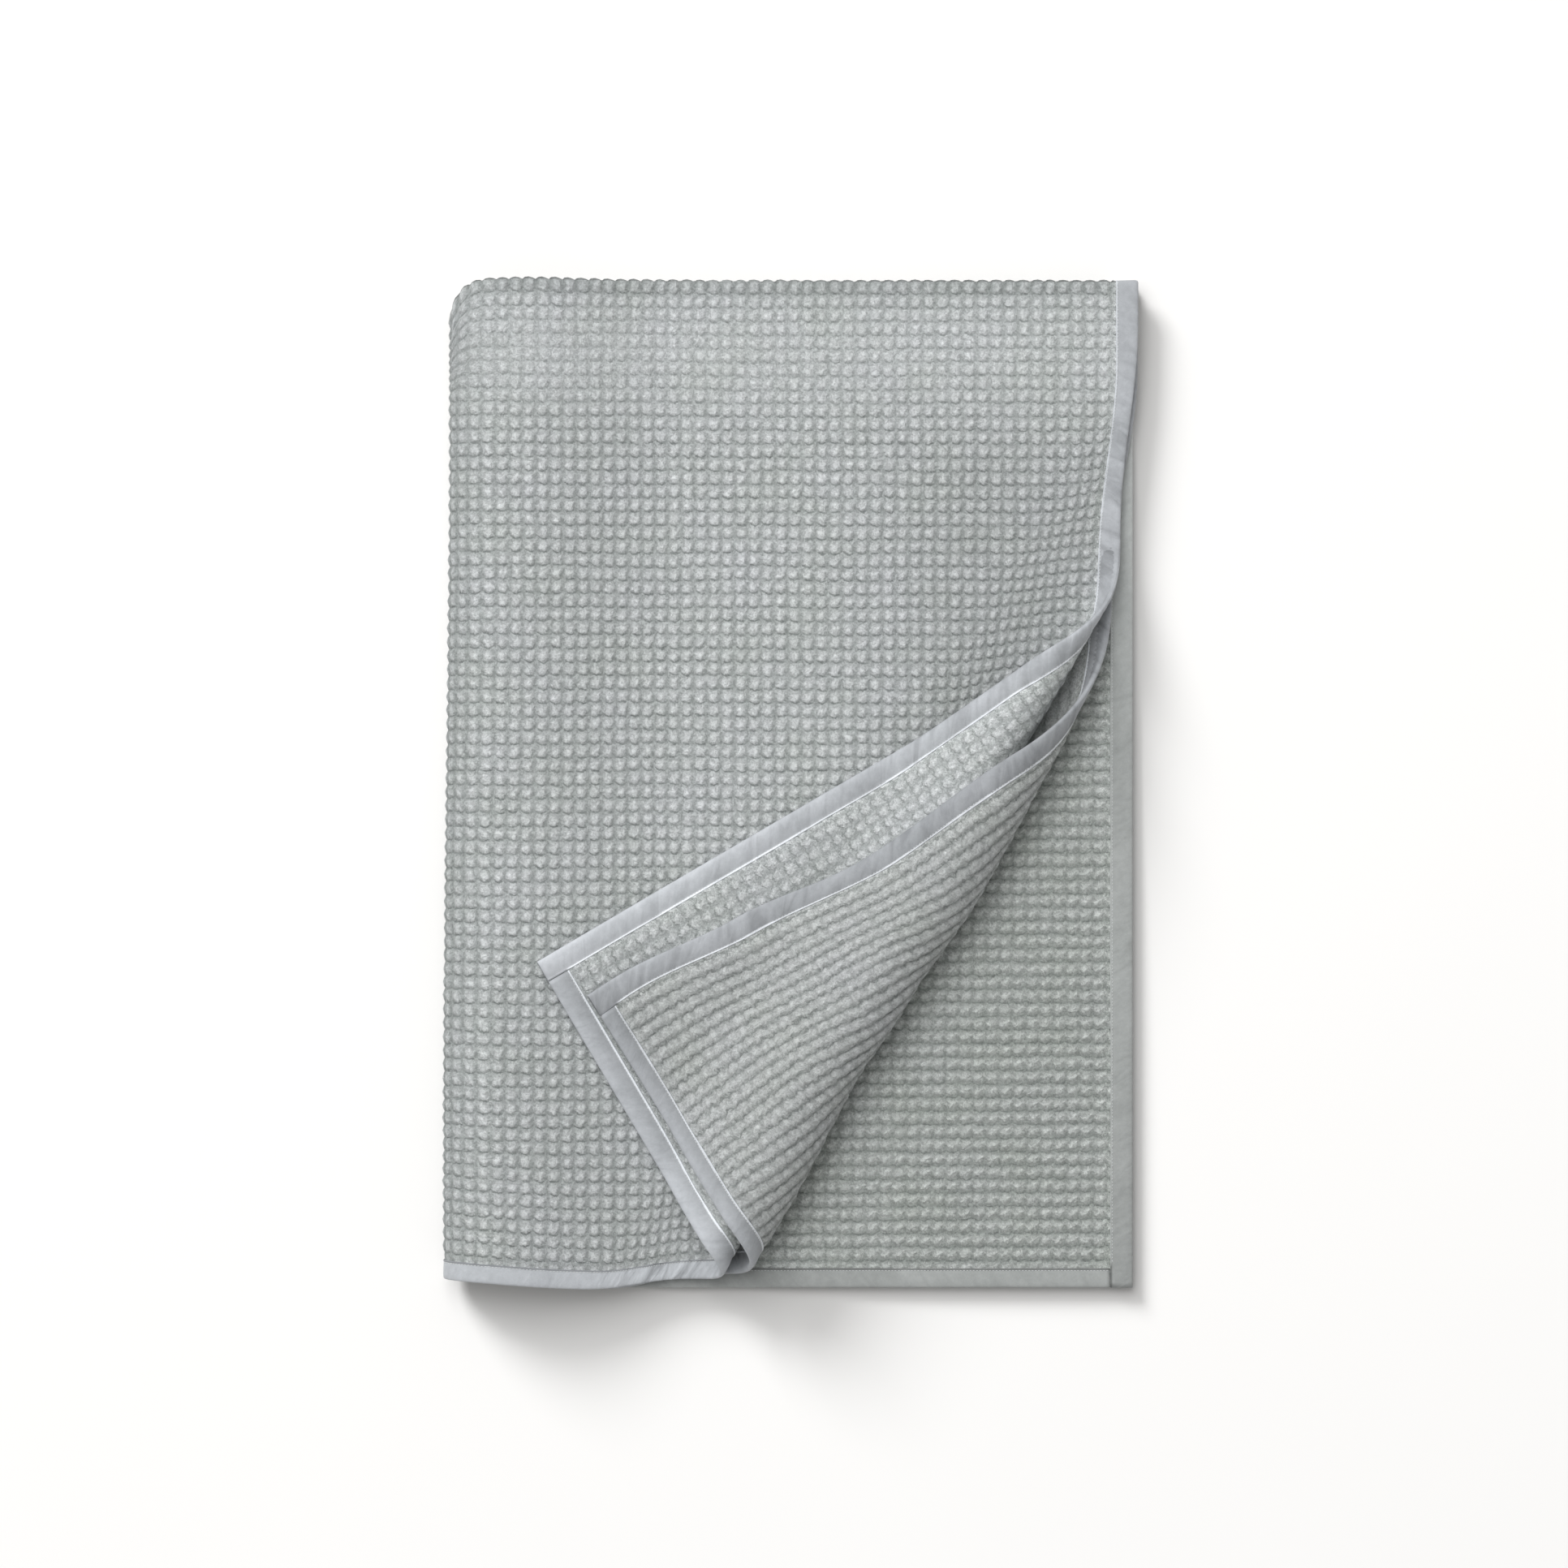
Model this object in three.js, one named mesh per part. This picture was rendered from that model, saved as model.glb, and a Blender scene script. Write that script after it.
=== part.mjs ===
// A waffle blanket folded in half and in half again, lying flat, with the front
// right corner of its two upper layers rolled back over itself.
// Millimetres, +Z up, origin on the surface under the middle of the folded blanket.
import * as THREE from "three";

// The blanket as cut: u runs across it and v along it, both from its middle
const WIDTH = 1240;
const LENGTH = 1780;
const CLOTH_HALF = 2.25; // half the thickness of the waffle cloth
const EDGE_HALF = 1.0; // half the thickness where the binding presses it flat
const HALF_W = WIDTH / 2;
const HALF_L = LENGTH / 2;

// The binding, a strip folded over the raw edge
const BINDING_WIDTH = 20;
const BINDING_HALF = 2.1; // half the thickness over both its legs
const BINDING_INSIDE = 1.35; // half the slot between its legs
const BINDING_CHAMFER = 0.7;
const BINDING_BACK = 0.8; // how thick it is around the raw edge
const BUTT_GAP = 0.35; // between a short strip and the long strip it meets
const RAW_EDGE = 1.2; // raw edge of the cloth, in from the binding's back
const PRESSED = 20.4; // pressed cloth ends here
const FULL = 22.5; // and the full thickness begins here

// First fold, across the far end: two layers PAIR apart around a tight turn
const PAIR = 7.5;
const PAIR_HALF = PAIR / 2;
const TURN_ARC = (PAIR_HALF * Math.PI) / 2;
const FAR_Y = 438; // where the tight turn begins
const NEAR_Y = -442.5; // the open near end
const Y_RATIO = (FAR_Y - NEAR_Y) / (HALF_L - TURN_ARC);

// Second fold, along the left: the pair goes around these arcs, lower right to crown
const LOWER_MID = CLOTH_HALF + PAIR_HALF;
const UPPER_MID = 19.5;
const LOWER_RIGHT = 301.5;
const UPPER_RIGHT = 305.5;
const FOLD_LEFT = -299.3;
const FOLD_ARCS = [
  { radius: 32.2, turn: 40, steps: 2 },
  { radius: 8.2, turn: 50, steps: 3 },
  { radius: 26.2, turn: 48, steps: 3 },
  { radius: 46.2, turn: 42, steps: 3 },
];
const SETTLE = 160; // from the crown to where the upper layers lie level
const SETTLE_STEPS = 4;

// The rolled corner: n points from the roll's axis to the corner, t along the axis
const AXIS = THREE.MathUtils.degToRad(60.15);
const TX = Math.cos(AXIS);
const TY = Math.sin(AXIS);
const NX = Math.sin(AXIS);
const NY = -Math.cos(AXIS);
// crease: where a sharp fold would put the same corner; gather: cloth taken up
// before the roll; drift: how far the corner slides along the axis
const ROLLS = {
  top: {
    radius: 20.5,
    over: 30,
    settleRadius: 40,
    rise: PAIR,
    gather: 18,
    drift: -12.2,
    crease: [
      { t: -400, n: 184.8 },
      { t: 400, n: 184.8 },
    ],
  },
  under: {
    radius: 31,
    over: 25,
    settleRadius: 60,
    rise: 3 * PAIR,
    gather: 26,
    drift: -15.8,
    crease: [
      { t: -400, n: 214 },
      { t: -300, n: 214 },
      { t: -200, n: 210.5 },
      { t: -110, n: 215.5 },
      { t: 0, n: 224 },
      { t: 130, n: 221 },
      { t: 260, n: 217 },
    ],
  },
};
const GATHER_WIDTH = 95;
const ROLL_STEPS = 10;
const FLAP_STEPS = 6;
const ALONG_STEPS = 6;

// Unevenness of the folded blanket
const CORNER_DROP = 35; // far left corner, rounded by the bent fold
const CORNER_SPREAD = 9;
const CORNER_REACH = 110;
const LEFT_SLANT = 5.5; // far end of the left fold stands in from its near end
const NEAR_LEFT_LIFT = 9; // near end of the left fold stands back from the rest
const RIPPLE = 1.1;

const DETAIL = 0.001; // sizes are kept to this

const clamp = (value) => Math.min(Math.max(value, 0), 1);

function smooth(value) {
  const c = clamp(value);
  return c * c * (3 - 2 * c);
}

// Smooth curve through a table's rows, level at both ends
function alongTable(rows, t) {
  if (t <= rows[0].t) return rows[0].n;
  for (let i = 1; i < rows.length; i += 1) {
    const from = rows[i - 1];
    const to = rows[i];
    if (t <= to.t) return from.n + (to.n - from.n) * smooth((t - from.t) / (to.t - from.t));
  }
  return rows[rows.length - 1].n;
}

// Path of arcs around the left fold, with where each arc starts
function foldPath() {
  const arcs = [];
  let heading = Math.PI;
  let x = 0;
  let z = LOWER_MID;
  let s = 0;
  for (const { radius, turn, steps } of FOLD_ARCS) {
    const angle = THREE.MathUtils.degToRad(turn);
    arcs.push({ radius, angle, steps, heading, x, z, s });
    const next = heading - angle;
    x += radius * (Math.sin(heading) - Math.sin(next));
    z += radius * (Math.cos(next) - Math.cos(heading));
    s += radius * angle;
    heading = next;
  }
  const shift = FOLD_LEFT - arcs[2].x;
  const lowerLength = LOWER_RIGHT - shift;
  for (const arc of arcs) {
    arc.x += shift;
    arc.s += lowerLength;
  }
  return { arcs, lowerLength, crownX: x + shift, crownZ: z, crownS: s + lowerLength };
}

const FOLD = foldPath();
const CROWN_LIFT = FOLD.crownZ - UPPER_MID;
const PATH_LENGTH = FOLD.crownS + UPPER_RIGHT - FOLD.crownX;
const X_RATIO = PATH_LENGTH / WIDTH;
const CROWN_U = FOLD.crownS / X_RATIO - HALF_W;
const SETTLED_U = CROWN_U + SETTLE / X_RATIO;

// Height of the upper layers above their level part
function puff(x) {
  return CROWN_LIFT * (1 - smooth((x - FOLD.crownX) / SETTLE));
}

function ripple(x, y) {
  return RIPPLE * (1 + Math.sin(x / 64 + 1.3) * Math.sin(y / 87 + 0.4));
}

// Middle of the pair of layers at u, with the direction towards its outer layer
function section(u) {
  const s = (u + HALF_W) * X_RATIO;
  if (s <= FOLD.lowerLength) return { x: LOWER_RIGHT - s, z: LOWER_MID, outX: 0, outZ: -1 };
  if (s >= FOLD.crownS) {
    const x = FOLD.crownX + s - FOLD.crownS;
    const slope = (puff(x + 0.5) - puff(x - 0.5)) / Math.hypot(1, puff(x + 0.5) - puff(x - 0.5));
    return { x, z: UPPER_MID + puff(x), outX: -slope, outZ: Math.sqrt(1 - slope * slope) };
  }
  const arc = FOLD.arcs.findLast((each) => s >= each.s);
  const heading = arc.heading - (s - arc.s) / arc.radius;
  return {
    x: arc.x + arc.radius * (Math.sin(arc.heading) - Math.sin(heading)),
    z: arc.z + arc.radius * (Math.cos(heading) - Math.cos(arc.heading)),
    outX: -Math.sin(heading),
    outZ: Math.cos(heading),
  };
}

// Distances within one roll: its profile leaves the level at s = 0
function rollShape(roll) {
  const over = THREE.MathUtils.degToRad(roll.over);
  const r = roll.radius;
  const slide =
    (r * (1 + Math.cos(over)) - roll.rise - roll.settleRadius * (1 - Math.cos(over))) / Math.sin(over);
  const arcEnd = r * (Math.PI + over);
  const slideEnd = arcEnd + slide;
  const end = slideEnd + roll.settleRadius * over;
  const endN = -r * Math.sin(over) - slide * Math.cos(over) - roll.settleRadius * Math.sin(over);
  return { ...roll, over, arcEnd, slideEnd, end, endN, half: (end + endN) / 2 };
}

const ROLL = { top: rollShape(ROLLS.top), under: rollShape(ROLLS.under) };

// Outline of a roll: how far out and how high it is at s
function rollProfile(roll, s) {
  const r = roll.radius;
  if (s <= roll.arcEnd) return { n: r * Math.sin(s / r), z: r * (1 - Math.cos(s / r)) };
  const topN = -r * Math.sin(roll.over);
  const topZ = r * (1 + Math.cos(roll.over));
  const slide = Math.min(s, roll.slideEnd) - roll.arcEnd;
  const n = topN - slide * Math.cos(roll.over);
  const z = topZ - slide * Math.sin(roll.over);
  if (s <= roll.slideEnd) return { n, z };
  const rest = roll.over - Math.min(s - roll.slideEnd, roll.end - roll.slideEnd) / roll.settleRadius;
  return {
    n: n - roll.settleRadius * (Math.sin(roll.over) - Math.sin(rest)) - Math.max(s - roll.end, 0),
    z: z - roll.settleRadius * (Math.cos(rest) - Math.cos(roll.over)),
  };
}

function rollStart(roll, t) {
  return alongTable(roll.crease, t) - roll.half + roll.gather / 2;
}

// Carries a point of an upper layer to its place on the rolled corner
function rollBack(roll, level, point) {
  const t = TX * point.x + TY * point.y;
  const n = NX * point.x + NY * point.y;
  const start = rollStart(roll, t);
  const s = n - start;
  if (s <= -GATHER_WIDTH) return point;
  const profile = rollProfile(roll, Math.max(s, 0));
  const n2 = s > 0 ? start - roll.gather + profile.n : n - roll.gather * smooth(1 + s / GATHER_WIDTH);
  const t2 = t + roll.drift * smooth(s / roll.end);
  const x = TX * t2 + NX * n2;
  const y = TY * t2 + NY * n2;
  const base = s > 0 ? level : point.z - puff(point.x) - ripple(point.x, point.y);
  return { x, y, z: base + profile.z + puff(x) + ripple(x, y) };
}

// Slants and rounds the folded blanket as it lies
function settle(point) {
  const left = smooth((-100 - point.x) / 205);
  const drop = CORNER_DROP * Math.exp(-Math.max(point.x + 304, 0) / CORNER_SPREAD);
  point.x += LEFT_SLANT * left * smooth((point.y + 300) / 650);
  point.y -= drop * smooth((point.y - FAR_Y + CORNER_REACH) / CORNER_REACH);
  point.y += NEAR_LEFT_LIFT * left * left * smooth((-260 - point.y) / 180);
  return point;
}

// Middle of the cloth's thickness at (u, v)
function middle(u, v) {
  const pair = section(u);
  const beyond = Math.abs(v) - TURN_ARC;
  const across = beyond > 0 ? -Math.sign(v) * PAIR_HALF : -PAIR_HALF * Math.sin(v / PAIR_HALF);
  const y = beyond > 0 ? FAR_Y - beyond * Y_RATIO : FAR_Y + PAIR_HALF * Math.cos(v / PAIR_HALF);
  const point = { x: pair.x + pair.outX * across, y, z: pair.z + pair.outZ * across };
  point.z += smooth((u - CROWN_U) / 40) * ripple(point.x, y);
  if (u < CROWN_U || beyond < 0) return settle(point);
  return settle(rollBack(v < 0 ? ROLL.top : ROLL.under, UPPER_MID + across, point));
}

function vector(point) {
  return new THREE.Vector3(point.x, point.y, point.z);
}

// Point at (u, v), offset from the cloth's middle towards its outer face
function place(u, v, offset) {
  const step = 0.05;
  const du = vector(middle(u + step, v)).sub(vector(middle(u - step, v)));
  const dv = vector(middle(u, v + step)).sub(vector(middle(u, v - step)));
  const normal = du.cross(dv).normalize();
  const at = vector(middle(u, v)).addScaledVector(normal, offset);
  return [at.x, at.y, at.z].map((value) => Math.round(value / DETAIL) * DETAIL);
}

function halfThickness(u, v) {
  const inside = Math.min(HALF_W - Math.abs(u), HALF_L - Math.abs(v));
  return inside < (PRESSED + FULL) / 2 ? EDGE_HALF : CLOTH_HALF;
}

// Level coordinates of the upper layers to the blanket's own
const uOf = (x) => HALF_W - (UPPER_RIGHT - x) / X_RATIO;
const vOf = (y) => HALF_L - (y - NEAR_Y) / Y_RATIO;
const edgeX = (inset) => UPPER_RIGHT - inset * X_RATIO;
const edgeY = (inset) => NEAR_Y + inset * Y_RATIO;

// Where the line at distance s into the roll meets a given x, or a given y
function meetX(roll, s, x) {
  let t = 0;
  for (let i = 0; i < 12; i += 1) t = (x - NX * (rollStart(roll, t) + s)) / TX;
  return { t, n: rollStart(roll, t) + s };
}

function meetY(roll, s, y) {
  let t = 0;
  for (let i = 0; i < 12; i += 1) t = (y - NY * (rollStart(roll, t) + s)) / TY;
  return { t, n: rollStart(roll, t) + s };
}

function toFlat({ t, n }, side) {
  return { u: uOf(TX * t + NX * n), v: side * vOf(TY * t + NY * n) };
}

function between(from, to, steps) {
  return Array.from({ length: steps - 1 }, (_, i) => from + ((to - from) * (i + 1)) / steps);
}

// Points on the line at s, from the long edge to the short edge
function rollLine(roll, s, side) {
  const insets = [RAW_EDGE, PRESSED, FULL];
  const right = insets.map((inset) => meetX(roll, s, edgeX(inset)));
  const near = insets.map((inset) => meetY(roll, s, edgeY(inset)));
  const inner = between(right[2].t, near[2].t, ALONG_STEPS).map((t) => ({ t, n: rollStart(roll, t) + s }));
  return [...right, ...inner, near[2], near[1], near[0]].map((point) => toFlat(point, side));
}

// Distances into the roll at which its lines lie
function rollSteps(roll) {
  const x = edgeX(FULL);
  const y = edgeY(FULL);
  const last = NX * x + NY * y - rollStart(roll, TX * x + TY * y);
  return [
    0,
    ...between(0, roll.arcEnd, ROLL_STEPS),
    roll.arcEnd,
    roll.slideEnd,
    (roll.slideEnd + roll.end) / 2,
    roll.end,
    ...between(roll.end, last, FLAP_STEPS),
    last,
  ];
}

// Columns of the cloth that run the full length
function fixedColumns() {
  const lower = FOLD.lowerLength / X_RATIO - HALF_W;
  const columns = [RAW_EDGE, PRESSED, FULL].map((inset) => inset - HALF_W);
  columns.push(...between(columns[2], lower, 3), lower);
  for (const arc of FOLD.arcs) {
    const from = arc.s / X_RATIO - HALF_W;
    const to = (arc.s + arc.radius * arc.angle) / X_RATIO - HALF_W;
    columns.push(...between(from, to, arc.steps), to);
  }
  columns.push(...between(CROWN_U, SETTLED_U, SETTLE_STEPS), SETTLED_U);
  return columns;
}

const FIXED = fixedColumns();
const FREE_COLUMNS = 3;
const RIGHT_COLUMNS = [FULL, PRESSED, RAW_EDGE].map((inset) => HALF_W - inset);

// Rows from the tight turn towards one short edge; the roll cuts the later ones short
function rowsOf(side) {
  const roll = side < 0 ? ROLL.top : ROLL.under;
  const line = rollLine(roll, 0, side);
  const first = side * TURN_ARC;
  const rows = [first, ...between(first, line[0].v, 3)].map((v) => ({ v, ends: RIGHT_COLUMNS }));
  rows.push({ v: line[0].v, ends: RIGHT_COLUMNS });
  rows.push({ v: line[1].v, ends: RIGHT_COLUMNS.slice(0, 2) });
  for (const point of line.slice(2)) rows.push({ v: point.v, ends: [point.u] });
  return rows;
}

// Cost of a diagonal between two flat points: cloth and binding cut their
// four-sided cells along the same one
function diagonalCost([au, av], [bu, bv]) {
  const du = bu - au;
  const dv = Math.abs(bv) - Math.abs(av);
  return du * du + dv * dv - 0.1 * du * dv;
}

// Collects the flat points of the cloth and the triangles between them
class FlatNet {
  constructor() {
    this.points = [];
    this.triangles = [];
    this.known = new Map();
  }

  add(u, v) {
    const key = `${u.toFixed(3)},${v.toFixed(3)}`;
    if (!this.known.has(key)) {
      this.known.set(key, this.points.length);
      this.points.push([u, v]);
    }
    return this.known.get(key);
  }

  triangle(a, b, c) {
    if (a === b || b === c || c === a) return;
    const [[au, av], [bu, bv], [cu, cv]] = [a, b, c].map((index) => this.points[index]);
    const turn = (bu - au) * (cv - av) - (bv - av) * (cu - au);
    this.triangles.push(turn > 0 ? [a, b, c] : [a, c, b]);
  }

  quad(a, b, c, d) {
    const [pa, pb, pc, pd] = [a, b, c, d].map((index) => this.points[index]);
    const [p, q, r, s] = diagonalCost(pa, pc) <= diagonalCost(pb, pd) ? [a, b, c, d] : [b, c, d, a];
    this.triangle(p, q, r);
    this.triangle(p, r, s);
  }

  // Joins two lines of points, the longer one closing onto the shorter one's end
  join(lineA, lineB) {
    const shared = Math.min(lineA.length, lineB.length);
    for (let i = 1; i < shared; i += 1) this.quad(lineA[i - 1], lineA[i], lineB[i], lineB[i - 1]);
    for (let i = shared; i < lineA.length; i += 1) {
      this.triangle(lineA[i - 1], lineA[i], lineB[shared - 1]);
    }
  }
}

function addRow(net, { v, ends }) {
  const free = between(SETTLED_U, ends[0], FREE_COLUMNS + 1);
  return [...FIXED, ...free, ...ends].map((u) => net.add(u, v));
}

function addCorner(net, side) {
  const roll = side < 0 ? ROLL.top : ROLL.under;
  const steps = rollSteps(roll);
  const lines = steps.map((s) => rollLine(roll, s, side).map(({ u, v }) => net.add(u, v)));
  for (let k = 1; k < lines.length; k += 1) net.join(lines[k - 1], lines[k]);
  const last = lines[lines.length - 1];
  const [rawRight, pressedRight, corner] = last;
  const [pressedNear, rawNear] = last.slice(-2);
  const pressed = net.add(HALF_W - PRESSED, side * (HALF_L - PRESSED));
  const raw = net.add(HALF_W - RAW_EDGE, side * (HALF_L - RAW_EDGE));
  net.quad(rawRight, pressedRight, pressed, raw);
  net.triangle(pressedRight, corner, pressed);
  net.triangle(corner, pressedNear, pressed);
  net.quad(pressedNear, rawNear, raw, pressed);
}

function clothNet() {
  const net = new FlatNet();
  const turn = between(-TURN_ARC, TURN_ARC, 4).map((v) => ({ v, ends: RIGHT_COLUMNS }));
  const rows = [...rowsOf(-1).reverse(), ...turn, ...rowsOf(1)].map((row) => addRow(net, row));
  for (let j = 1; j < rows.length; j += 1) {
    if (rows[j - 1].length >= rows[j].length) net.join(rows[j - 1], rows[j]);
    else net.join(rows[j], rows[j - 1]);
  }
  addCorner(net, -1);
  addCorner(net, 1);
  return net;
}

function geometryOf(points, triangles) {
  const geometry = new THREE.BufferGeometry();
  geometry.setAttribute("position", new THREE.Float32BufferAttribute(points.flat(), 3));
  geometry.setIndex(triangles.flat());
  geometry.computeVertexNormals();
  return geometry;
}

// Both faces of the cloth over the net, closed along its edge
function clothGeometry() {
  const net = clothNet();
  const count = net.points.length;
  const outer = net.points.map(([u, v]) => place(u, v, halfThickness(u, v)));
  const inner = net.points.map(([u, v]) => place(u, v, -halfThickness(u, v)));
  const edges = new Map();
  const triangles = [];
  for (const [a, b, c] of net.triangles) {
    triangles.push([a, b, c], [a + count, c + count, b + count]);
    for (const [from, to] of [[a, b], [b, c], [c, a]]) {
      if (!edges.delete(`${to},${from}`)) edges.set(`${from},${to}`, [from, to]);
    }
  }
  for (const [from, to] of edges.values()) {
    triangles.push([from, from + count, to + count], [from, to + count, to]);
  }
  return geometryOf([...outer, ...inner], triangles);
}

// Section of the binding: distance in from its back, and offset from the cloth's middle
const BINDING_SECTION = [
  [BINDING_WIDTH, BINDING_HALF],
  [BINDING_CHAMFER, BINDING_HALF],
  [0, BINDING_HALF - BINDING_CHAMFER],
  [0, BINDING_CHAMFER - BINDING_HALF],
  [BINDING_CHAMFER, -BINDING_HALF],
  [BINDING_WIDTH, -BINDING_HALF],
  [BINDING_WIDTH, -BINDING_INSIDE],
  [BINDING_BACK, -BINDING_INSIDE],
  [BINDING_BACK, BINDING_INSIDE],
  [BINDING_WIDTH, BINDING_INSIDE],
];

// A strip through stations, each a back point and an inner point on the blanket
function stripGeometry(stations) {
  const size = BINDING_SECTION.length;
  const flat = [];
  const points = [];
  const triangles = [];
  for (const { back, inner } of stations) {
    for (const [inset, offset] of BINDING_SECTION) {
      const share = inset / BINDING_WIDTH;
      const u = THREE.MathUtils.lerp(back.u, inner.u, share);
      const v = THREE.MathUtils.lerp(back.v, inner.v, share);
      flat.push([u, v]);
      points.push(place(u, v, offset));
    }
  }
  for (let k = 1; k < stations.length; k += 1) {
    for (let i = 0; i < size; i += 1) {
      const a = (k - 1) * size + i;
      const b = (k - 1) * size + ((i + 1) % size);
      const c = b + size;
      const d = a + size;
      const straight = diagonalCost(flat[a], flat[c]) <= diagonalCost(flat[b], flat[d]);
      triangles.push(...(straight ? [[a, b, c], [a, c, d]] : [[a, b, d], [b, c, d]]));
    }
  }
  const outline = BINDING_SECTION.map(([inset, offset]) => new THREE.Vector2(inset, offset));
  const last = (stations.length - 1) * size;
  for (const [a, b, c] of THREE.ShapeUtils.triangulateShape(outline, [])) {
    triangles.push([a, c, b], [a + last, b + last, c + last]);
  }
  return geometryOf(points, triangles);
}

// Where a roll's lines cross the long strip and the short strip
function rollStations(side) {
  const roll = side < 0 ? ROLL.top : ROLL.under;
  const long = [];
  const short = [];
  for (const s of rollSteps(roll)) {
    const onLong = (inset) => toFlat(meetX(roll, s, edgeX(inset)), side);
    const onShort = (inset) => toFlat(meetY(roll, s, edgeY(inset)), side);
    long.push({ back: onLong(0), inner: onLong(BINDING_WIDTH) });
    short.push({ back: onShort(0), inner: onShort(BINDING_WIDTH) });
  }
  return { long, short };
}

// Long strip over the upper layers: rolled corner, tight turn, rolled corner
function upperLongStrip() {
  const across = (v) => ({ back: { u: HALF_W, v }, inner: { u: HALF_W - BINDING_WIDTH, v } });
  const half = (side) => {
    const rows = rowsOf(side).slice(0, 3).map(({ v }) => across(v));
    return [...rows, ...rollStations(side).long, across(side * HALF_L)];
  };
  const turn = between(-TURN_ARC, TURN_ARC, 4).map(across);
  return stripGeometry([...half(-1).reverse(), ...turn, ...half(1)]);
}

// Long strip over the lower layers, straight but for the tight turn
function lowerLongStrip() {
  const across = (v) => ({ back: { u: -HALF_W, v }, inner: { u: BINDING_WIDTH - HALF_W, v } });
  const half = (side) => between(side * TURN_ARC, side * HALF_L, 4).map(across);
  const turn = [-TURN_ARC, ...between(-TURN_ARC, TURN_ARC, 4), TURN_ARC].map(across);
  const stations = [across(-HALF_L), ...half(-1).reverse(), ...turn, ...half(1), across(HALF_L)];
  return stripGeometry(stations.reverse());
}

// Short strip, from the lower right around the left fold to the turned corner
function shortStrip(side) {
  const at = (backU, innerU) => ({
    back: { u: backU, v: side * HALF_L },
    inner: { u: innerU, v: side * (HALF_L - BINDING_WIDTH) },
  });
  const end = HALF_W - BINDING_WIDTH - BUTT_GAP;
  const rolled = rollStations(side).short;
  const innerFree = between(SETTLED_U, rolled[0].inner.u, FREE_COLUMNS + 1);
  const free = between(SETTLED_U, rolled[0].back.u, FREE_COLUMNS + 1).map((u, i) => at(u, innerFree[i]));
  const fixed = [-end, ...FIXED.slice(3)].map((u) => at(u, u));
  const stations = [...fixed, ...free, ...rolled, at(end, end)];
  return stripGeometry(side < 0 ? stations : stations.reverse());
}

const CLOTH = new THREE.MeshStandardMaterial({ color: 0xbdc3c0, roughness: 0.95, metalness: 0 });
const BINDING = new THREE.MeshStandardMaterial({ color: 0xc2c6c8, roughness: 0.8, metalness: 0 });

function piece(name, geometry, material) {
  const mesh = new THREE.Mesh(geometry, material.clone());
  mesh.name = name;
  return mesh;
}

const blanket = new THREE.Group();
blanket.add(
  piece("waffle_cloth", clothGeometry(), CLOTH),
  piece("binding_right", upperLongStrip(), BINDING),
  piece("binding_left", lowerLongStrip(), BINDING),
  piece("binding_foot", shortStrip(-1), BINDING),
  piece("binding_head", shortStrip(1), BINDING),
);

export default blanket;
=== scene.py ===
# A waffle blanket folded in quarters and lying flat, one corner of its upper
# layers rolled back. Flat sizes are in millimetres and meshes in metres.
import math

import bpy
import numpy as np
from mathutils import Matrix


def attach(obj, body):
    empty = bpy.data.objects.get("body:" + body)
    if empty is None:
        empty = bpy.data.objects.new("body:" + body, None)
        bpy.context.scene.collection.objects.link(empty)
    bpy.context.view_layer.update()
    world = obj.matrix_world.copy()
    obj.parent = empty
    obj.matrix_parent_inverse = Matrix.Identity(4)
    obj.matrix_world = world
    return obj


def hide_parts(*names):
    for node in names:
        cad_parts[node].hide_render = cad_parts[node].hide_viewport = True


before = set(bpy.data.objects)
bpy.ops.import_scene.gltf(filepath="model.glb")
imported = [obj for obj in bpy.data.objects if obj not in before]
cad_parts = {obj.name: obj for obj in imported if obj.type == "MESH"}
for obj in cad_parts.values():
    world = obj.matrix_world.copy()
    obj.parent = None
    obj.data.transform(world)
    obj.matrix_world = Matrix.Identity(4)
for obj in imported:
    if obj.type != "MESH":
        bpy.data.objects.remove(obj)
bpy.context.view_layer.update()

MM = 0.001

# The photo's scale: millimetres a pixel, its size, and the pixel over the origin
PIXEL, PHOTO_SIZE, ORIGIN_PX = 0.7133, 1932, (974, 967.5)

# The blanket as cut, and how it is folded: the same sizes as in the solids
WIDTH, LENGTH = 1240.0, 1780.0
HALF_W, HALF_L = WIDTH / 2, LENGTH / 2
CLOTH_HALF, EDGE_HALF = 2.25, 0.9  # half the cloth's thickness, open and inside the binding
BINDING_WIDTH, BINDING_INSIDE = 20.0, 1.35  # width of a leg, its inside from the cloth's middle
BUTT_GAP = 0.35  # between the ends of the short strips and the long strips
PAIR = 7.5  # between the middles of the two layers of a pair
PAIR_HALF = PAIR / 2
TURN_ARC = PAIR_HALF * math.pi / 2
FAR_Y, NEAR_Y = 438.0, -442.5  # the far fold and the open edges at the foot
Y_RATIO = (FAR_Y - NEAR_Y) / (HALF_L - TURN_ARC)
LOWER_MID, UPPER_MID = 6.0, 19.5  # heights of the middles of the two pairs
LOWER_RIGHT, UPPER_RIGHT, FOLD_LEFT = 301.5, 305.5, -299.3
FOLD_ARCS = ((32.2, 40), (8.2, 50), (26.2, 48), (46.2, 42))  # radius and turn, from below
SETTLE = 160.0  # over which the full left fold sinks to the flat layers
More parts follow.
